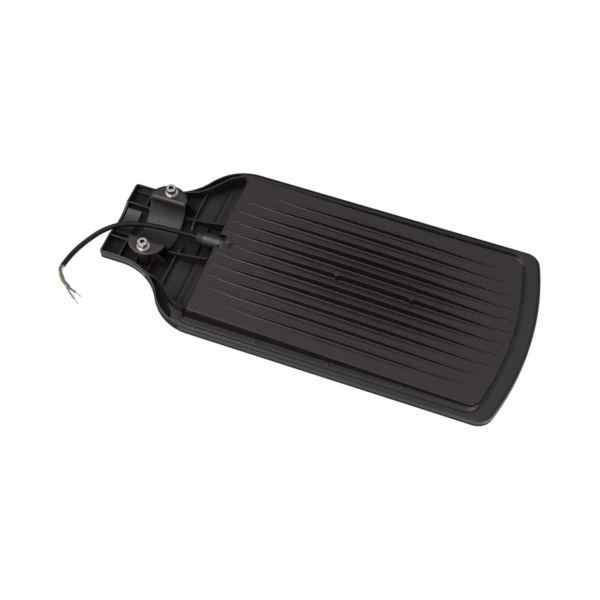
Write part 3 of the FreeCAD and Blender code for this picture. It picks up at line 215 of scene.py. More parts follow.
def rounded_normal(tree, radius):
    """Normal that softens sharp edges, as paint does; the radius may vary from place to place."""
    node = tree.nodes.new("ShaderNodeBevel")
    node.samples = EDGE_SAMPLES
    if isinstance(radius, float):
        node.inputs["Radius"].default_value = radius
    else:
        tree.links.new(radius(tree), node.inputs["Radius"])
    return node.outputs["Normal"]


# %% [markdown]
# The castings, the strap, the screws and the boards keep the meshes of the CAD part,
# because those have their real sizes. They could be modelled again with subdivision, but
# that would only round off what is meant to be crisp. So they are dressed: a finish goes
# into the material slots, and the mesh isn't touched.
# %% Dress the pieces
def dress(names, material):
    """Gives CAD nodes their finish."""
    for name in names:
        slots = nodes[name].data.materials
        slots.clear()
        slots.append(material)
    print(material.name, "on", len(names), "nodes")


# %% [markdown]
# The supply cable and its three cores are free cords. On the real head the black sheath
# leaves the gland, runs through the strap's trough between the two bolts, and ends on the
# table at the near side of the neck, where the blue, brown and green-yellow cores fan
# out. A chain of tubes could follow it, but would kink at every joint. A curve with a
# round bevel is the right tool: one smooth line, the same thickness all along, few points.
# Its order and its ends are set once the points are there, because a spline with too few
# points falls back to straight runs.
# %% Cord helper
ROUND_STEPS = 6
LENGTH_STEPS = 16


def cord_curve(name, route, radius, material):
    """Round cord along a smooth open spline; the route is its control points, in metres."""
    data = bpy.data.curves.new(name, "CURVE")
    data.dimensions = "3D"
    data.bevel_depth = radius
    data.bevel_resolution = ROUND_STEPS
    data.use_fill_caps = True
    data.resolution_u = LENGTH_STEPS
    spline = data.splines.new("NURBS")
    spline.points.add(len(route) - 1)
    for point, place in zip(spline.points, route):
        point.co = (*place, 1.0)
    spline.order_u = 3
    spline.use_endpoint_u = True
    data.materials.append(material)
    curve = bpy.data.objects.new(name, data)
    scene.collection.objects.link(curve)
    print(name, "on", len(route), "points")
    return curve


# %% [markdown]
# Cable rubber and moulded plastic have a faint grain, and their sheen isn't quite even.
# One flat colour would look like a drawing of them. So the roughness wanders a little
# with a broad noise, and a fine one lifts the surface by hundredths of a millimetre. The
# same recipe serves the sheath, the cores, the gland, the seals and the leads.
# %% Plastic and rubber recipe
PLASTIC_GRAIN = (900.0, 3.0)
PLASTIC_GRAIN_DEPTH = 0.00002
PLASTIC_CLOUDS = (60.0, 2.0)
SMOOTHER_PLASTIC = 0.06
ROUGHER_PLASTIC = 0.08


def plastic_finish(name, colour, roughness):
    """Moulded or drawn plastic or rubber with a fine grain."""
    material, tree, shader = new_material(name, colour, roughness)
    clouds = noise(tree, *PLASTIC_CLOUDS)
    level = remap(tree, clouds, roughness - SMOOTHER_PLASTIC, roughness + ROUGHER_PLASTIC)
    tree.links.new(level, shader.inputs["Roughness"])
    add_bump(tree, shader, noise(tree, *PLASTIC_GRAIN), PLASTIC_GRAIN_DEPTH)
    return material


# %% [markdown]
# The sheath is black rubber that reflects little, and the blue and brown cores are
# smoother plastic. The bare tips are tinned strands, which a fine, deeper noise on metal
# suggests at this size. Modelling every strand would cost more faces than the castings.
# %% Sheath, core and wire finishes
SHEATH_SPECULAR = 0.2
STRANDS = (2500.0, 2.0)
STRAND_DEPTH = 0.00004

sheath_finish = plastic_finish("cable_sheath", (0.004, 0.004, 0.004), 0.42)
shader_of(sheath_finish).inputs["Specular IOR Level"].default_value = SHEATH_SPECULAR
blue_finish = plastic_finish("core_blue", (0.022, 0.125, 0.195), 0.38)
brown_finish = plastic_finish("core_brown", (0.36, 0.175, 0.135), 0.38)

wire_finish, wire_tree, wire_shader = new_material("tinned_wire", (0.34, 0.335, 0.32), 0.42, 1.0)
add_bump(wire_tree, wire_shader, noise(wire_tree, *STRANDS), STRAND_DEPTH)
print("cord finishes", sheath_finish.name, blue_finish.name, brown_finish.name, wire_finish.name)

# %% [markdown]
# The earth core is yellow where it leaves the sheath. Its green side turns up towards the
# bare end, and faint green streaks show along it. Two half tubes could carry the two
# colours, but a mix by place, with some noise for the streaks, keeps it one smooth cord.
# %% Earth core finish
EARTH_YELLOW = (0.46, 0.24, 0.035)
EARTH_GREEN = (0.045, 0.115, 0.105)
GREEN_STARTS = (-0.3038, -0.3008)
GREEN_STREAKS = (90.0, 2.0)
STREAK_RANGE = (0.45, 0.62)
STREAK_STRENGTH = 0.25

earth_finish = plastic_finish("core_earth", EARTH_YELLOW, 0.38)
earth_tree = earth_finish.node_tree
green_side = above(earth_tree, along_axis(earth_tree, "X"), GREEN_STARTS)
streaks = remap(earth_tree, noise(earth_tree, *GREEN_STREAKS), 0.0, STREAK_STRENGTH, *STREAK_RANGE)
green_share = combine(earth_tree, "MAXIMUM", green_side, streaks)
earth_tint = mix_colours(earth_tree, green_share, EARTH_YELLOW, EARTH_GREEN)
earth_tree.links.new(earth_tint, shader_of(earth_finish).inputs["Base Color"])
print("cord finish", earth_finish.name)

# %% [markdown]
# A cord's route is a short list of control points, and the spline cuts smoothly inside
# its corners. The cable starts straight out of the gland's mouth, sinks into the trough
# and comes down to the table, where its centre is its own radius high.
# Its points stand for real places, so they are written down and not worked out.
# %% Supply cable
CABLE_RADIUS = 0.0035
CABLE_ROUTE = [
    (-0.1676, 0.0, 0.023),
    (-0.1785, 0.0, 0.023),
    (-0.2038, 0.0007, 0.0198),
    (-0.2288, -0.0001, 0.0186),
    (-0.2523, -0.0037, 0.0176),
    (-0.2753, -0.0116, 0.0162),
    (-0.2956, -0.0264, 0.0116),
    (-0.312, -0.0484, 0.0048),
    (-0.321, -0.0726, 0.0035),
    (-0.323, -0.0905, 0.0035),
]

supply_cable = cord_curve("supply_cable_sheath", CABLE_ROUTE, CABLE_RADIUS, sheath_finish)
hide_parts("supply_cable")
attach(supply_cable, "root")

# %% [markdown]
# The three cores leave the sheath's end side by side and fan out in loose curves. The blue
# one stands highest, and the green-yellow one crosses over the brown one before their
# tips. One curve could be copied and turned, but no two cores lie alike, so each has its
# own route.
# %% Core routes and lengths
BLUE_ROUTE = [
    (-0.3245, -0.09033, 0.0044),
    (-0.32506, -0.0953, 0.0044),
    (-0.3231, -0.0999, 0.00515),
    (-0.3173, -0.1045, 0.0051),
    (-0.3132, -0.1099, 0.005),
    (-0.3068, -0.1136, 0.00375),
    (-0.3009, -0.1164, 0.0025),
]
BROWN_ROUTE = [
    (-0.3215, -0.09067, 0.0044),
    (-0.32206, -0.09564, 0.0044),
    (-0.3203, -0.1007, 0.0027),
    (-0.3153, -0.1053, 0.0014),
    (-0.3112, -0.1103, 0.0013),
    (-0.3064, -0.1163, 0.0013),
    (-0.3005, -0.1213, 0.00135),
    (-0.2946, -0.1261, 0.0013),
    (-0.2875, -0.1306, 0.0013),
]
EARTH_ROUTE = [
    (-0.323, -0.0905, 0.00175),
    (-0.32356, -0.09547, 0.00175),
    (-0.3226, -0.1013, 0.00135),
    (-0.3186, -0.107, 0.00155),
    (-0.3142, -0.1114, 0.0018),
    (-0.3101, -0.1148, 0.0035),
    (-0.3048, -0.118, 0.0044),
    (-0.299, -0.1199, 0.0041),
    (-0.2938, -0.1208, 0.0033),
    (-0.2888, -0.1223, 0.0026),
]
BLUE_LENGTH = 0.0381
BROWN_LENGTH = 0.0552
EARTH_LENGTH = 0.0524
print("core routes", len(BLUE_ROUTE), len(BROWN_ROUTE), len(EARTH_ROUTE), "points")

# %% [markdown]
# Each core is a cord of its own. The three differ only in colour, route and length, so
# one loop lays them all.
# %% Cores
CORE_RADIUS = 0.0013

for colour, route, finish, length in (
        ("blue", BLUE_ROUTE, blue_finish, BLUE_LENGTH),
        ("brown", BROWN_ROUTE, brown_finish, BROWN_LENGTH),
        ("earth", EARTH_ROUTE, earth_finish, EARTH_LENGTH)):
    core = cord_curve(colour + "_core_wire", route, CORE_RADIUS, finish)
    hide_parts(colour + "_core")
    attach(core, "root")

# %% [markdown]
# Edges get a painted highlight: the colour is a little lighter along them. On some walls a
# finish changes along the head in several steps. The edge could be found from the mesh's
# curvature, but the rounded normal already knows it: it turns away from the true one only
# near an edge. The steps are short lists of places and levels, read by a ramp.
# %% Edges and look-up lists
def edge_share(tree, softened):
    """How far the softened normal turns from the true one: 0 on flat faces, more near edges."""
    true_normal = tree.nodes.new("ShaderNodeNewGeometry")
    node = tree.nodes.new("ShaderNodeVectorMath")
    node.operation = "DOT_PRODUCT"
    tree.links.new(softened, node.inputs[0])
    tree.links.new(true_normal.outputs["Normal"], node.inputs[1])
    return combine(tree, "SUBTRACT", 1.0, node.outputs["Value"])


def grey_ramp(tree, value, stops):
    """Level of a ramp with straight lines between its stops, pairs of a place in 0 .. 1 and a level."""
    node = tree.nodes.new("ShaderNodeValToRGB")
    marks = node.color_ramp.elements
    ready = len(marks)
    for number, (place, level) in enumerate(stops):
        mark = marks[number] if number < ready else marks.new(place)
        mark.position = place
        mark.color = (level, level, level, 1.0)
    tree.links.new(value, node.inputs["Fac"])
    return node.outputs["Color"]


def look_up(tree, value, pairs):
    """Level for a value in metres, from pairs of a value and a level, held beyond both ends."""
    low = pairs[0][0]
    high = pairs[-1][0]
    stops = [((place - low) / (high - low), level) for place, level in pairs]
    return grey_ramp(tree, above(tree, value, (low, high)), stops)


# %% [markdown]
# The castings are die-cast aluminium with a warm charcoal powder coat, and the strap has
# a smoother paint. Up close powder coat is satin with a very fine orange peel. A picture
# of it would blur near the camera, so two noises make the peel, and two broad ones vary
# its sheen and its tint.
# %% Peel, sheen and tint of the coat
FINE_PEEL = (1400.0, 3.0)
COARSE_PEEL = (320.0, 2.0)
PEEL_DEPTH = 0.000012
SHEEN_CLOUDS = (35.0, 4.0)
SMOOTHER_COAT = 0.05
ROUGHER_COAT = 0.06
TINT_CLOUDS = (18.0, 5.0)
CLOUD_LIGHT = 1.18
EDGE_RANGE = (0.02, 0.25)


def scaled(colour, factor):
    """The colour, made lighter or darker by one factor."""
    return tuple(channel * factor for channel in colour)


def coat_peel(tree, shader, normal):
    """Orange peel in two sizes on a normal, the broad one twice as deep."""
    fine = add_bump(tree, shader, noise(tree, *FINE_PEEL), PEEL_DEPTH, normal)
    add_bump(tree, shader, noise(tree, *COARSE_PEEL), PEEL_DEPTH * 2.0, fine)


def coat_sheen(tree, roughness):
    """Roughness that wanders a little round its level."""
    clouds = noise(tree, *SHEEN_CLOUDS)
    return remap(tree, clouds, roughness - SMOOTHER_COAT, roughness + ROUGHER_COAT)


def coat_tint(tree, colour, softened, painted_edge_highlight):
    """Colour with faint clouds, and a painted highlight that makes it lighter along edges."""
    clouds = above(tree, noise(tree, *TINT_CLOUDS), USUAL_NOISE)
    tint = mix_colours(tree, clouds, colour, scaled(colour, CLOUD_LIGHT))
    # Painted highlight: the colour is made lighter along edges.
    edge = above(tree, edge_share(tree, softened), EDGE_RANGE)
    return mix_colours(tree, edge, tint, scaled(colour, painted_edge_highlight))


# %% [markdown]
# Four layers lie on some of the coated pieces only: a groove with painted shade in it,
# dull coat with painted shade, wear, and painted light in a joint. Separate recipes for
# each piece would repeat all the rest, so there is one recipe, and each layer is handed
# to it as a function that says where the layer is.
# %% Powder coat
COAT_SPECULAR = 0.46
RIM_TOP = 0.0152
RIM_TOP_RANGE = (0.0140, RIM_TOP)
GROOVE_DEPTH = 0.0020
GROOVE_SHADE = 0.3
GROOVE_SHADE_RANGE = (0.86, 1.0)
# Painted shade: the dull floors are made darker and a little browner.
PAINTED_SHADE_TINT = (0.48, 0.38, 0.34)
DULL_FLOOR_ROUGHNESS = 0.95
# Painted light: a pale colour that lightens the shaded joint round the cover.
PAINTED_LIGHT_TINT = (0.100, 0.092, 0.088)


def painted_groove_shade(tree, seam):
    """Share of painted shade on the rim's top, in a groove beside the cover."""
    on_top = above(tree, along_axis(tree, "Z"), RIM_TOP_RANGE)
    return both(tree, on_top, below(tree, seam, GROOVE_SHADE_RANGE))


def powder_coat(name, colour, roughness, edge_radius, painted_edge_highlight=3.0, dull_and_shaded=None, groove=None,
                worn=None, painted_light=None):
    """Satin coat; shares by place give dull coat with painted shade and painted light, worn gives extra
    roughness, and groove a height with painted shade in it.
    """
    material, tree, shader = new_material(name, colour, roughness)
    shader.inputs["Specular IOR Level"].default_value = COAT_SPECULAR
    normal = rounded_normal(tree, edge_radius)
    level = coat_sheen(tree, roughness)
    tint = coat_tint(tree, colour, normal, painted_edge_highlight)
    # Painted shade: the groove in the rim's top is made darker.
    if groove is not None:
        seam = groove(tree)
        normal = add_bump(tree, shader, seam, GROOVE_DEPTH, normal)
        tint = mix_colours(tree, painted_groove_shade(tree, seam), tint, scaled(colour, GROOVE_SHADE))
    coat_peel(tree, shader, normal)
    # Painted shade: the dull floors get a darker colour, and their roughness rises.
    if dull_and_shaded is not None:
        share = dull_and_shaded(tree)
        level = combine(tree, "ADD", level, combine(tree, "MULTIPLY", share, DULL_FLOOR_ROUGHNESS - roughness))
        painted_shade_colour = tuple(channel * part for channel, part in zip(colour, PAINTED_SHADE_TINT))
        tint = mix_colours(tree, share, tint, painted_shade_colour)
    if worn is not None:
        level = combine(tree, "ADD", level, worn(tree))
    # Painted light: a pale colour lightens the joint and the flange.
    if painted_light is not None:
        tint = mix_colours(tree, painted_light(tree), tint, PAINTED_LIGHT_TINT)
    tree.links.new(level, shader.inputs["Roughness"])
    tree.links.new(tint, shader.inputs["Base Color"])
    return material


# %% [markdown]
# On the floors of deep pockets the coat is dull, and darker as painted shade. That holds
# on the floor of the neck's tray, most of all in the small pockets at its end and close to
# the cover, with a fine darker line across it, and in the channel in its middle. A mask
# painted by hand would do it too, but a rule by place fits exactly.
# %% Dull coat and painted shade in the tray
TRAY_FLOOR = (0.0068, 0.0078)
TRAY_DULL_AND_SHADED = [(-0.2840, 1.0), (-0.1950, 1.0), (-0.1890, 0.25), (-0.1800, 0.30), (-0.1740, 0.52),
                 (-0.1655, 0.58), (-0.1638, 1.0), (-0.1620, 1.0), (-0.1602, 0.50), (-0.1560, 0.64),
                 (-0.1532, 0.95), (-0.1512, 0.66), (-0.1480, 0.50), (-0.1440, 1.0), (-0.1350, 1.0)]
CHANNEL_HALF_WIDTH = (0.0270, 0.0285)
CHANNEL_TOP = (0.0105, 0.0125)
CHANNEL_START = (-0.2000, -0.1990)


def dull_and_shaded_tray(tree):
    """Share of dull coat and painted shade on the tray's floor, by the place along the head."""
    low = below(tree, along_axis(tree, "Z"), TRAY_FLOOR)
    return both(tree, low, look_up(tree, along_axis(tree, "X"), TRAY_DULL_AND_SHADED))


def dull_and_shaded_channel(tree):
    """Share of dull coat and painted shade in the middle channel, from the strap to the cover."""
    near_axis = below(tree, away_from_axis(tree), CHANNEL_HALF_WIDTH)
    deep = below(tree, along_axis(tree, "Z"), CHANNEL_TOP)
    past_strap = above(tree, along_axis(tree, "X"), CHANNEL_START)
    return both(tree, both(tree, near_axis, deep), past_strap)


# %% [markdown]
# Outside each shoulder wall a trench runs along the neck, between the wall and the rim.
# Its floor gets the same dull coat and painted shade as the tray's. The wall curves, so the
# trench is found from the wall's own outline, a list of places along the head and
# distances from its axis.
# %% Dull coat and painted shade in the trenches
SHOULDER_WALL = [(-0.2072, 0.0697), (-0.1925, 0.0751), (-0.1811, 0.0829), (-0.1710, 0.0925),
                 (-0.1625, 0.1005), (-0.1530, 0.1059), (-0.1421, 0.1094)]
TRENCH_EDGE = (0.0020, 0.0030)
TRENCH_TOP = (0.0130, RIM_TOP)
TRENCH_END = (-0.1420, -0.1410)


def dull_and_shaded_trench(tree):
    """Share of dull coat and painted shade in the trenches outside the shoulder walls."""
    wall = look_up(tree, along_axis(tree, "X"), SHOULDER_WALL)
    outside = combine(tree, "SUBTRACT", away_from_axis(tree), wall)
    clear_of_wall = above(tree, outside, TRENCH_EDGE)
    sunk = below(tree, along_axis(tree, "Z"), TRENCH_TOP)
    before_cover = below(tree, along_axis(tree, "X"), TRENCH_END)
    return both(tree, both(tree, clear_of_wall, sunk), before_cover)


def dull_and_shaded_places(tree):
    """Share of dull coat and painted shade on the housing: tray, channel and trenches."""
    inside_walls = combine(tree, "MAXIMUM", dull_and_shaded_tray(tree), dull_and_shaded_channel(tree))
    return combine(tree, "MAXIMUM", inside_walls, dull_and_shaded_trench(tree))


# %% [markdown]
# The cover sits in a seat inside the rim with a small gap all round, and a fine groove
# runs there where the two coats meet. The groove needs the distance from the seat: two
# straight sides, a left edge and a far end that is an arc about a point on the long axis.
# All come from the cover's own box in the frame. The largest of the three distances is
# the right one, and a smooth maximum rounds the corners.
# %% Distance from the cover's seat
COVER_FIT = 0.0003
END_RADIUS = 0.3865
CORNER_BLEND = 0.027
LEFT_CORNER_BLEND = 0.016

cover_low, cover_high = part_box("heat_sink_cover")
SEAT_LEFT = cover_low[0] - COVER_FIT
SEAT_HALF_WIDTH = cover_high[1] + COVER_FIT
SEAT_END_CENTRE = cover_high[0] + COVER_FIT - END_RADIUS
print("seat starts at", round(SEAT_LEFT, 4), "and is", round(2 * SEAT_HALF_WIDTH, 4), "m wide")


def past_side(tree):
    """Distance beyond the seat's long sides."""
    return combine(tree, "SUBTRACT", away_from_axis(tree), SEAT_HALF_WIDTH)


def past_arc(tree, centre):
    """Distance beyond the arc of the far end that has this centre on the long axis."""
    x = combine(tree, "SUBTRACT", along_axis(tree, "X"), centre)
    away = distance_across(tree, x, along_axis(tree, "Y"))
    return combine(tree, "SUBTRACT", away, END_RADIUS)


def away_from_seat(tree):
    """Distance outside the seat's whole outline."""
    away = combine(tree, "SMOOTH_MAX", past_arc(tree, SEAT_END_CENTRE), past_side(tree), CORNER_BLEND)
    past_left = combine(tree, "SUBTRACT", SEAT_LEFT, along_axis(tree, "X"))
    return combine(tree, "SMOOTH_MAX", away, past_left, LEFT_CORNER_BLEND)


# %% [markdown]
# The rim's top isn't quite flat: it falls a little towards its outer edge along the sides,
# and rolls over in a narrow band at the far end. The groove and both falls are one height
# map for the coat's bump, 1 where the rim is whole. Cutting them into the mesh would be
# right for a milled part, but on a casting they are softer than any edge of the model.
# %% Groove and rim
RIM_WALL = (0.0020, RIM_TOP)
RIM_SIDE = (0.1120, 0.1140)
RIM_END = (0.2300, 0.2320)
GROOVE_SHAPE = [(0.0, 0.0), (0.0016, 0.24), (0.0031, 0.0), (0.0040, 0.0)]
FALL_SHAPE = [(0.0016, 0.0), (0.0031, 0.10), (0.0050, 0.16), (0.0065, 0.30), (0.0080, 0.53), (0.0095, 0.85)]
FALL_END = (0.2050, 0.2350)
END_FALL_SHAPE = [(-0.0055, 0.0), (-0.0035, 0.18), (-0.0018, 0.50), (0.0, 1.0)]

housing_low, housing_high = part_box("housing")
OUTER_END_CENTRE = housing_high[0] - END_RADIUS
print("housing", round(housing_high[0] - housing_low[0], 4), "m long")


def seam_groove(tree):
    """Height of the rim round the cover: 1 where it is whole, less in the groove and in its falls."""
    on_rim = both(tree, above(tree, along_axis(tree, "Z"), RIM_WALL),
                  above(tree, away_from_axis(tree), RIM_SIDE))
    at_end = above(tree, along_axis(tree, "X"), RIM_END)
    before_end = below(tree, along_axis(tree, "X"), FALL_END)
    groove = both(tree, look_up(tree, away_from_seat(tree), GROOVE_SHAPE),
                  combine(tree, "MAXIMUM", on_rim, at_end))
    side_fall = both(tree, look_up(tree, past_side(tree), FALL_SHAPE), both(tree, on_rim, before_end))
    end_fall = both(tree, look_up(tree, past_arc(tree, OUTER_END_CENTRE), END_FALL_SHAPE), at_end)
    cut = combine(tree, "ADD", combine(tree, "ADD", groove, side_fall), end_fall)
    return combine(tree, "SUBTRACT", 1.0, cut)


# %% [markdown]
# At the far end the cover's flange lies a little below the rim, and the narrow joint
# between them gets painted light, a pale colour, so it doesn't look like a black gap. It
# lies on the rim's inner wall and on the flange, and more faintly on the rest of the flange.
# %% Painted light in the joint
PAINTED_LIGHT_END = (0.2300, 0.2420)
PAINTED_LIGHT_SIDE = (0.1218, 0.1224)
PAINTED_LIGHT_REACH = (0.0004, 0.0010)
PAINTED_LIGHT_WALL_TOP = (0.0156, 0.0160)
PAINTED_LIGHT_FLANGE_TOP = (0.0134, 0.0140)
PAINTED_LIGHT_LEAST = 0.12


def painted_light_on_wall(tree):
    """Share of painted light on the rim's inner wall, in the narrow joint round the cover's far end."""
    inner = below(tree, past_arc(tree, SEAT_END_CENTRE), PAINTED_LIGHT_REACH)
    sunk = below(tree, along_axis(tree, "Z"), PAINTED_LIGHT_WALL_TOP)
    end = both(tree, above(tree, along_axis(tree, "X"), PAINTED_LIGHT_END),
               below(tree, away_from_axis(tree), PAINTED_LIGHT_SIDE))
    return both(tree, both(tree, inner, sunk), end)


def painted_light_on_flange(tree):
    """Share of painted light on the cover's flange, most of it at the far end."""
    sunk = below(tree, along_axis(tree, "Z"), PAINTED_LIGHT_FLANGE_TOP)
    return both(tree, sunk, remap(tree, along_axis(tree, "X"), PAINTED_LIGHT_LEAST, 1.0, *PAINTED_LIGHT_END))


# %% [markdown]
# Two more places differ. A pole arm rubs the strap low in its trough and leaves it dull,
# and the cover's edges at its far end come out of the mould rounder than the rest. Wear
# could be painted in and edges bevelled one by one, but both follow one coordinate, so
# each is a single range.
# %% Worn strap and rounder far edges
WORN_RANGE = (0.018, 0.030)
WORN_ROUGHNESS = 0.25
COVER_EDGE_RADIUS = (0.0009, 0.0032)
ROUNDER_RANGE = (0.2350, 0.2450)


def worn_trough(tree):
    """Extra roughness low in the strap's trough, where a pole rubs."""
    return remap(tree, along_axis(tree, "Z"), WORN_ROUGHNESS, 0.0, *WORN_RANGE)


def cover_edge_radius(tree):
    """The cover's edges are rounder at its far end."""
    return remap(tree, along_axis(tree, "X"), *COVER_EDGE_RADIUS, *ROUNDER_RANGE)


# %% [markdown]
# With every layer ready, the three coated pieces get their finish: the housing with dull
# coat and painted shade, the groove and painted light in the joint, the finned cover a
# touch smoother with painted light on its flange, and the strap smoother still and worn.
# One common coat would be simpler, but the two castings and the strap are painted apart
# and don't match exactly.
# %% Castings and strap
housing_finish = powder_coat("warm_charcoal_coat", colour=(0.0120, 0.0088, 0.0083), roughness=0.34,
                             edge_radius=0.0008, painted_edge_highlight=1.3, dull_and_shaded=dull_and_shaded_places,
                             groove=seam_groove, painted_light=painted_light_on_wall)
cover_finish = powder_coat("warm_charcoal_cover_coat", colour=(0.0117, 0.0077, 0.0071), roughness=0.30,
                           edge_radius=cover_edge_radius, painted_light=painted_light_on_flange)
strap_finish = powder_coat("strap_coat", colour=(0.0168, 0.0143, 0.0152), roughness=0.20,
                           edge_radius=0.0050, worn=worn_trough)
dress(["housing"], housing_finish)
dress(["heat_sink_cover"], cover_finish)
dress(["clamp_saddle"], strap_finish)

# %% [markdown]
# Turned and rolled metal is never a perfect mirror: its polish varies in small patches and
# fine marks lie on it. Grooves in the mesh would be far too fine, so a patchy roughness
# and a very shallow bump do it, on a shader that is all metal.
# %% Turned metal recipe
POLISH_PATCHES = (500.0, 3.0)
TURNING_MARKS = (1800.0, 2.0)
TURNING_DEPTH = 0.000006
METAL_EDGE_RADIUS = 0.0002
SMOOTHER_METAL = 0.05
ROUGHER_METAL = 0.08


def turned_metal(name, colour, roughness):
    """Machined or rolled metal with fine marks."""
    material, tree, shader = new_material(name, colour, roughness, 1.0)
    patches = noise(tree, *POLISH_PATCHES)
    level = remap(tree, patches, roughness - SMOOTHER_METAL, roughness + ROUGHER_METAL)
    tree.links.new(level, shader.inputs["Roughness"])
    add_bump(tree, shader, noise(tree, *TURNING_MARKS), TURNING_DEPTH,
             rounded_normal(tree, METAL_EDGE_RADIUS))
    return material


# %% [markdown]
# The two clamp bolts are bright steel, with painted shade deep in their sockets. Under an
# open sky a rendered socket stays too light, so its walls and the outer ring of its floor
# are darkened by place: near a bolt's axis and below the rim of its head. The bolt's box
# in the frame gives both. One rule serves both bolts, because they mirror each other.
# %% Bolt steel
SOCKET_WALL = (0.0035, 0.0037)
SOCKET_RING = (0.0010, 0.0022)
SOCKET_MIDDLE = 0.25
SOCKET_RIM_DROP = 0.0005
SOCKET_FADE = 0.0006
SOCKET_SHADE = (0.03, 0.028, 0.026)

bolt_low, bolt_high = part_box("clamp_bolt_far")
BOLT_X = (bolt_low[0] + bolt_high[0]) / 2.0
BOLT_Y = (bolt_low[1] + bolt_high[1]) / 2.0
SOCKET_RIM = bolt_high[2] - SOCKET_RIM_DROP
SOCKET_TOP = (SOCKET_RIM - SOCKET_FADE, SOCKET_RIM)
print("bolts at", round(BOLT_X, 4), round(BOLT_Y, 4), "with their sockets' rims at", round(SOCKET_RIM, 4))


def painted_socket_shade(tree):
    """Share of painted shade in the sockets, less in the middle of their floors."""
    x = combine(tree, "SUBTRACT", along_axis(tree, "X"), BOLT_X)
    y = combine(tree, "SUBTRACT", away_from_axis(tree), BOLT_Y)
    away = distance_across(tree, x, y)
    inside = both(tree, below(tree, away, SOCKET_WALL),
                  remap(tree, away, SOCKET_MIDDLE, 1.0, *SOCKET_RING))
    return both(tree, inside, below(tree, along_axis(tree, "Z"), SOCKET_TOP))


def bolt_steel(name, colour, roughness):
    """Polished steel with painted shade in the sockets of the two clamp bolts."""
    material = turned_metal(name, colour, roughness)
    tree = material.node_tree
    # Painted shade in the bolts' sockets.
    tint = mix_colours(tree, painted_socket_shade(tree), colour, SOCKET_SHADE)
    tree.links.new(tint, shader_of(material).inputs["Base Color"])
    return material


# %% [markdown]
# The clamp's bolts, washers and inserts share the bright steel, the cover's screws and the
# gland's lock screw are dark, and the light side has a plain aluminium frame. Each finish
# is a colour and a roughness. The names could all be listed, but the two sides of the
# clamp are alike, so a loop puts theirs together.
# %% Metal pieces
clamp_steel = []
for piece in ("clamp_bolt_", "spring_washer_", "flat_washer_", "threaded_insert_"):
    for side in ("far", "near"):
        clamp_steel.append(piece + side)

dress(clamp_steel + ["frame_screws", "driver_screws"],
      bolt_steel("bright_steel", (0.54, 0.505, 0.455), 0.14))
dress(["cover_screws", "gland_lock_screw"], turned_metal("dark_screws", (0.10, 0.095, 0.09), 0.35))
dress(["front_frame"], turned_metal("frame_aluminium", (0.55, 0.55, 0.55), 0.40))
dress(["driver_case", "driver_lid"], turned_metal("driver_sheet", (0.70, 0.70, 0.70), 0.35))

# %% [markdown]
# The gland's cap is smooth black nylon and its body, set in the pocket, is duller. Inside
# the head are seals, leads, a terminal block, the driver's board and the light board with
# its yellow light sources. Most of it is hidden and could stay plain, but each piece gets
# its own colour and roughness, so that it looks right when the head is opened.
# %% Plastic, rubber and board pieces
dress(["gland_cap"], plastic_finish("gland_plastic", (0.016, 0.0155, 0.016), 0.22))
dress(["gland_body"], plastic_finish("gland_body_plastic", (0.014, 0.0135, 0.014), 0.50))
dress(["gland_seal", "gland_washer", "cover_gasket", "lens_gasket", "lead_grommet"],
      plastic_finish("seal_rubber", (0.010, 0.010, 0.010), 0.62))
dress(["supply_cable_tail"], sheath_finish)
dress(["blue_bare_end", "brown_bare_end", "earth_bare_end"], wire_finish)
dress(["supply_leads", "driver_input_leads", "led_leads"],
      plastic_finish("lead_insulation", (0.62, 0.61, 0.58), 0.45))
dress(["terminal_block"], plastic_finish("terminal_plastic", (0.72, 0.71, 0.67), 0.35))
dress(["driver_board"], plastic_finish("circuit_board", (0.02, 0.11, 0.05), 0.35))
dress(["led_board"], plastic_finish("light_board", (0.78, 0.78, 0.75), 0.40))
dress(["led_chips"], plastic_finish("light_chip", (0.80, 0.56, 0.08), 0.45))

# %% [markdown]
# The clear panel on the light side is polycarbonate, with a shallow lens under each light
# source. Thin clear sheet could be faked with a see-through share, but real transmission
# with the plastic's own refraction bends the light at the lenses as it should.
# %% Clear panel
PANEL_REFRACTION = 1.58

panel_finish, _, panel_shader = new_material("clear_panel", (0.95, 0.97, 0.98), 0.06)
panel_shader.inputs["Transmission Weight"].default_value = 1.0
panel_shader.inputs["IOR"].default_value = PANEL_REFRACTION
dress(["lens_panel"], panel_finish)

# %% [markdown]
# The head lies on a plain white table. A matte table alone would render grey, or need so
# much light that the dark coat turned pale. So most of it glows white, but only for the
# camera, for reflections and through clear plastic. The small rest stays an ordinary
# matte surface, which keeps the head's shadow on it.
# %% Table finish
TABLE_MATTE = 0.8
TABLE_GLOW = 0.96


def seen_directly(tree):
    """1 for camera, glossy and transmission rays, and 0 for soft light."""
    path = tree.nodes.new("ShaderNodeLightPath")
    total = path.outputs["Is Camera Ray"]
    for name in ("Is Glossy Ray", "Is Transmission Ray"):
        total = combine(tree, "MAXIMUM", total, path.outputs[name])
    return total


def table_material():
    """Matte white that mostly glows for what sees it directly."""
    material = bpy.data.materials.new("white_table")
    material.use_nodes = True
    tree = material.node_tree
    tree.nodes.clear()
    output = tree.nodes.new("ShaderNodeOutputMaterial")
    matte = tree.nodes.new("ShaderNodeBsdfDiffuse")
    matte.inputs["Color"].default_value = (TABLE_MATTE, TABLE_MATTE, TABLE_MATTE, 1.0)
    glow = tree.nodes.new("ShaderNodeEmission")
    mix = tree.nodes.new("ShaderNodeMixShader")
    share = combine(tree, "MULTIPLY", seen_directly(tree), TABLE_GLOW)
    tree.links.new(share, mix.inputs["Fac"])
    tree.links.new(matte.outputs[0], mix.inputs[1])
    tree.links.new(glow.outputs[0], mix.inputs[2])
    tree.links.new(mix.outputs[0], output.inputs["Surface"])
    return material


# %% [markdown]
# One flat face is all that a table needs here. It reaches far enough that low views see no
# edge of it, and lies a hair below the head, because two faces in the same plane flicker.
# %% White table
TABLE_HALF = 40.0
TABLE_DROP = 0.0002

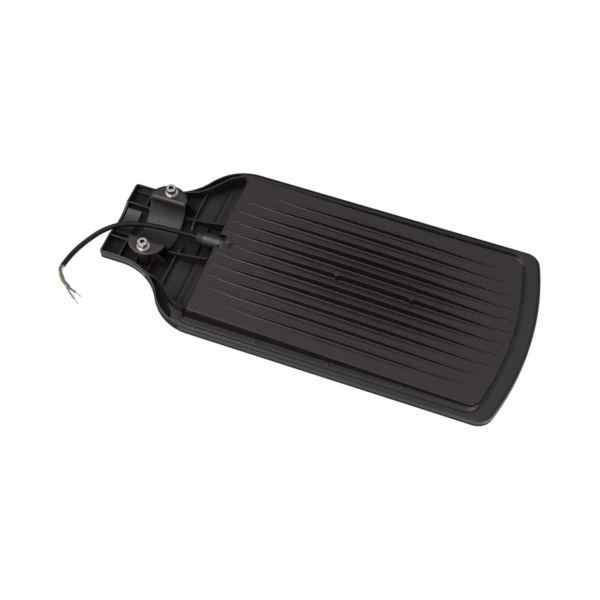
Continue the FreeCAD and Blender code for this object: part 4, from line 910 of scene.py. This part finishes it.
corners = [(-TABLE_HALF, -TABLE_HALF), (TABLE_HALF, -TABLE_HALF), (TABLE_HALF, TABLE_HALF),
           (-TABLE_HALF, TABLE_HALF)]
table_mesh = bpy.data.meshes.new("white_table")
table_mesh.from_pydata([(x, y, -TABLE_DROP) for x, y in corners], [], [(0, 1, 2, 3)])
table_mesh.materials.append(table_material())
white_table = bpy.data.objects.new("white_table", table_mesh)
scene.collection.objects.link(white_table)
print("table", 2 * TABLE_HALF, "m wide")

# %% [markdown]
# The coat is so dark that most of what the eye sees on it is the sky's reflection. One
# even white world would make every upward face the same grey. So the sky is graded: it is
# bright overhead and towards the near side, and dark at the far horizon, which is what
# shapes the fins and the strap.
# %% Graded sky
SKY_AXIS = (0.13, -0.45, 0.884)
SKY_LEVELS = [(0.0, 0.06), (0.22, 0.32), (0.48, 0.94), (1.0, 0.98)]

world = bpy.data.worlds.new("studio")
world.use_nodes = True
scene.world = world
sky_tree = world.node_tree
direction = sky_tree.nodes.new("ShaderNodeTexCoord")
towards = sky_tree.nodes.new("ShaderNodeVectorMath")
towards.operation = "DOT_PRODUCT"
towards.inputs[1].default_value = SKY_AXIS
sky_tree.links.new(direction.outputs["Generated"], towards.inputs[0])
sky_light = grey_ramp(sky_tree, towards.outputs["Value"], SKY_LEVELS)
sky_tree.links.new(sky_light, sky_tree.nodes["Background"].inputs["Color"])
print("sky with", len(SKY_LEVELS), "levels")

# %% [markdown]
# Two soft boxes above the near left side add a gentle shadow beside the head and a light
# streak on the bolts. A sun lamp would throw a hard shadow, and a small lamp a bright
# spot, so both are large area lights that look straight down.
# %% Soft boxes
LAMP_HEIGHT = 1.95
LAMP_POWER = 18.0


def soft_box(name, x, y, width, depth):
    """Oblong area light that looks straight down."""
    data = bpy.data.lights.new(name, "AREA")
    data.shape = "RECTANGLE"
    data.size = width
    data.size_y = depth
    data.energy = LAMP_POWER
    light = bpy.data.objects.new(name, data)
    light.location = (x, y, LAMP_HEIGHT)
    scene.collection.objects.link(light)
    print(name, width, "by", depth, "m")


soft_box("overhead_box", x=-0.87, y=-0.70, width=1.0, depth=2.2)
soft_box("left_box", x=-2.3, y=-0.5, width=1.2, depth=1.6)

# %% [markdown]
# A filmic view would grey the white table and lift the dark coat. The standard view shows
# every colour as it is written.
# %% View
scene.view_settings.view_transform = "Standard"
print("view", scene.view_settings.view_transform)
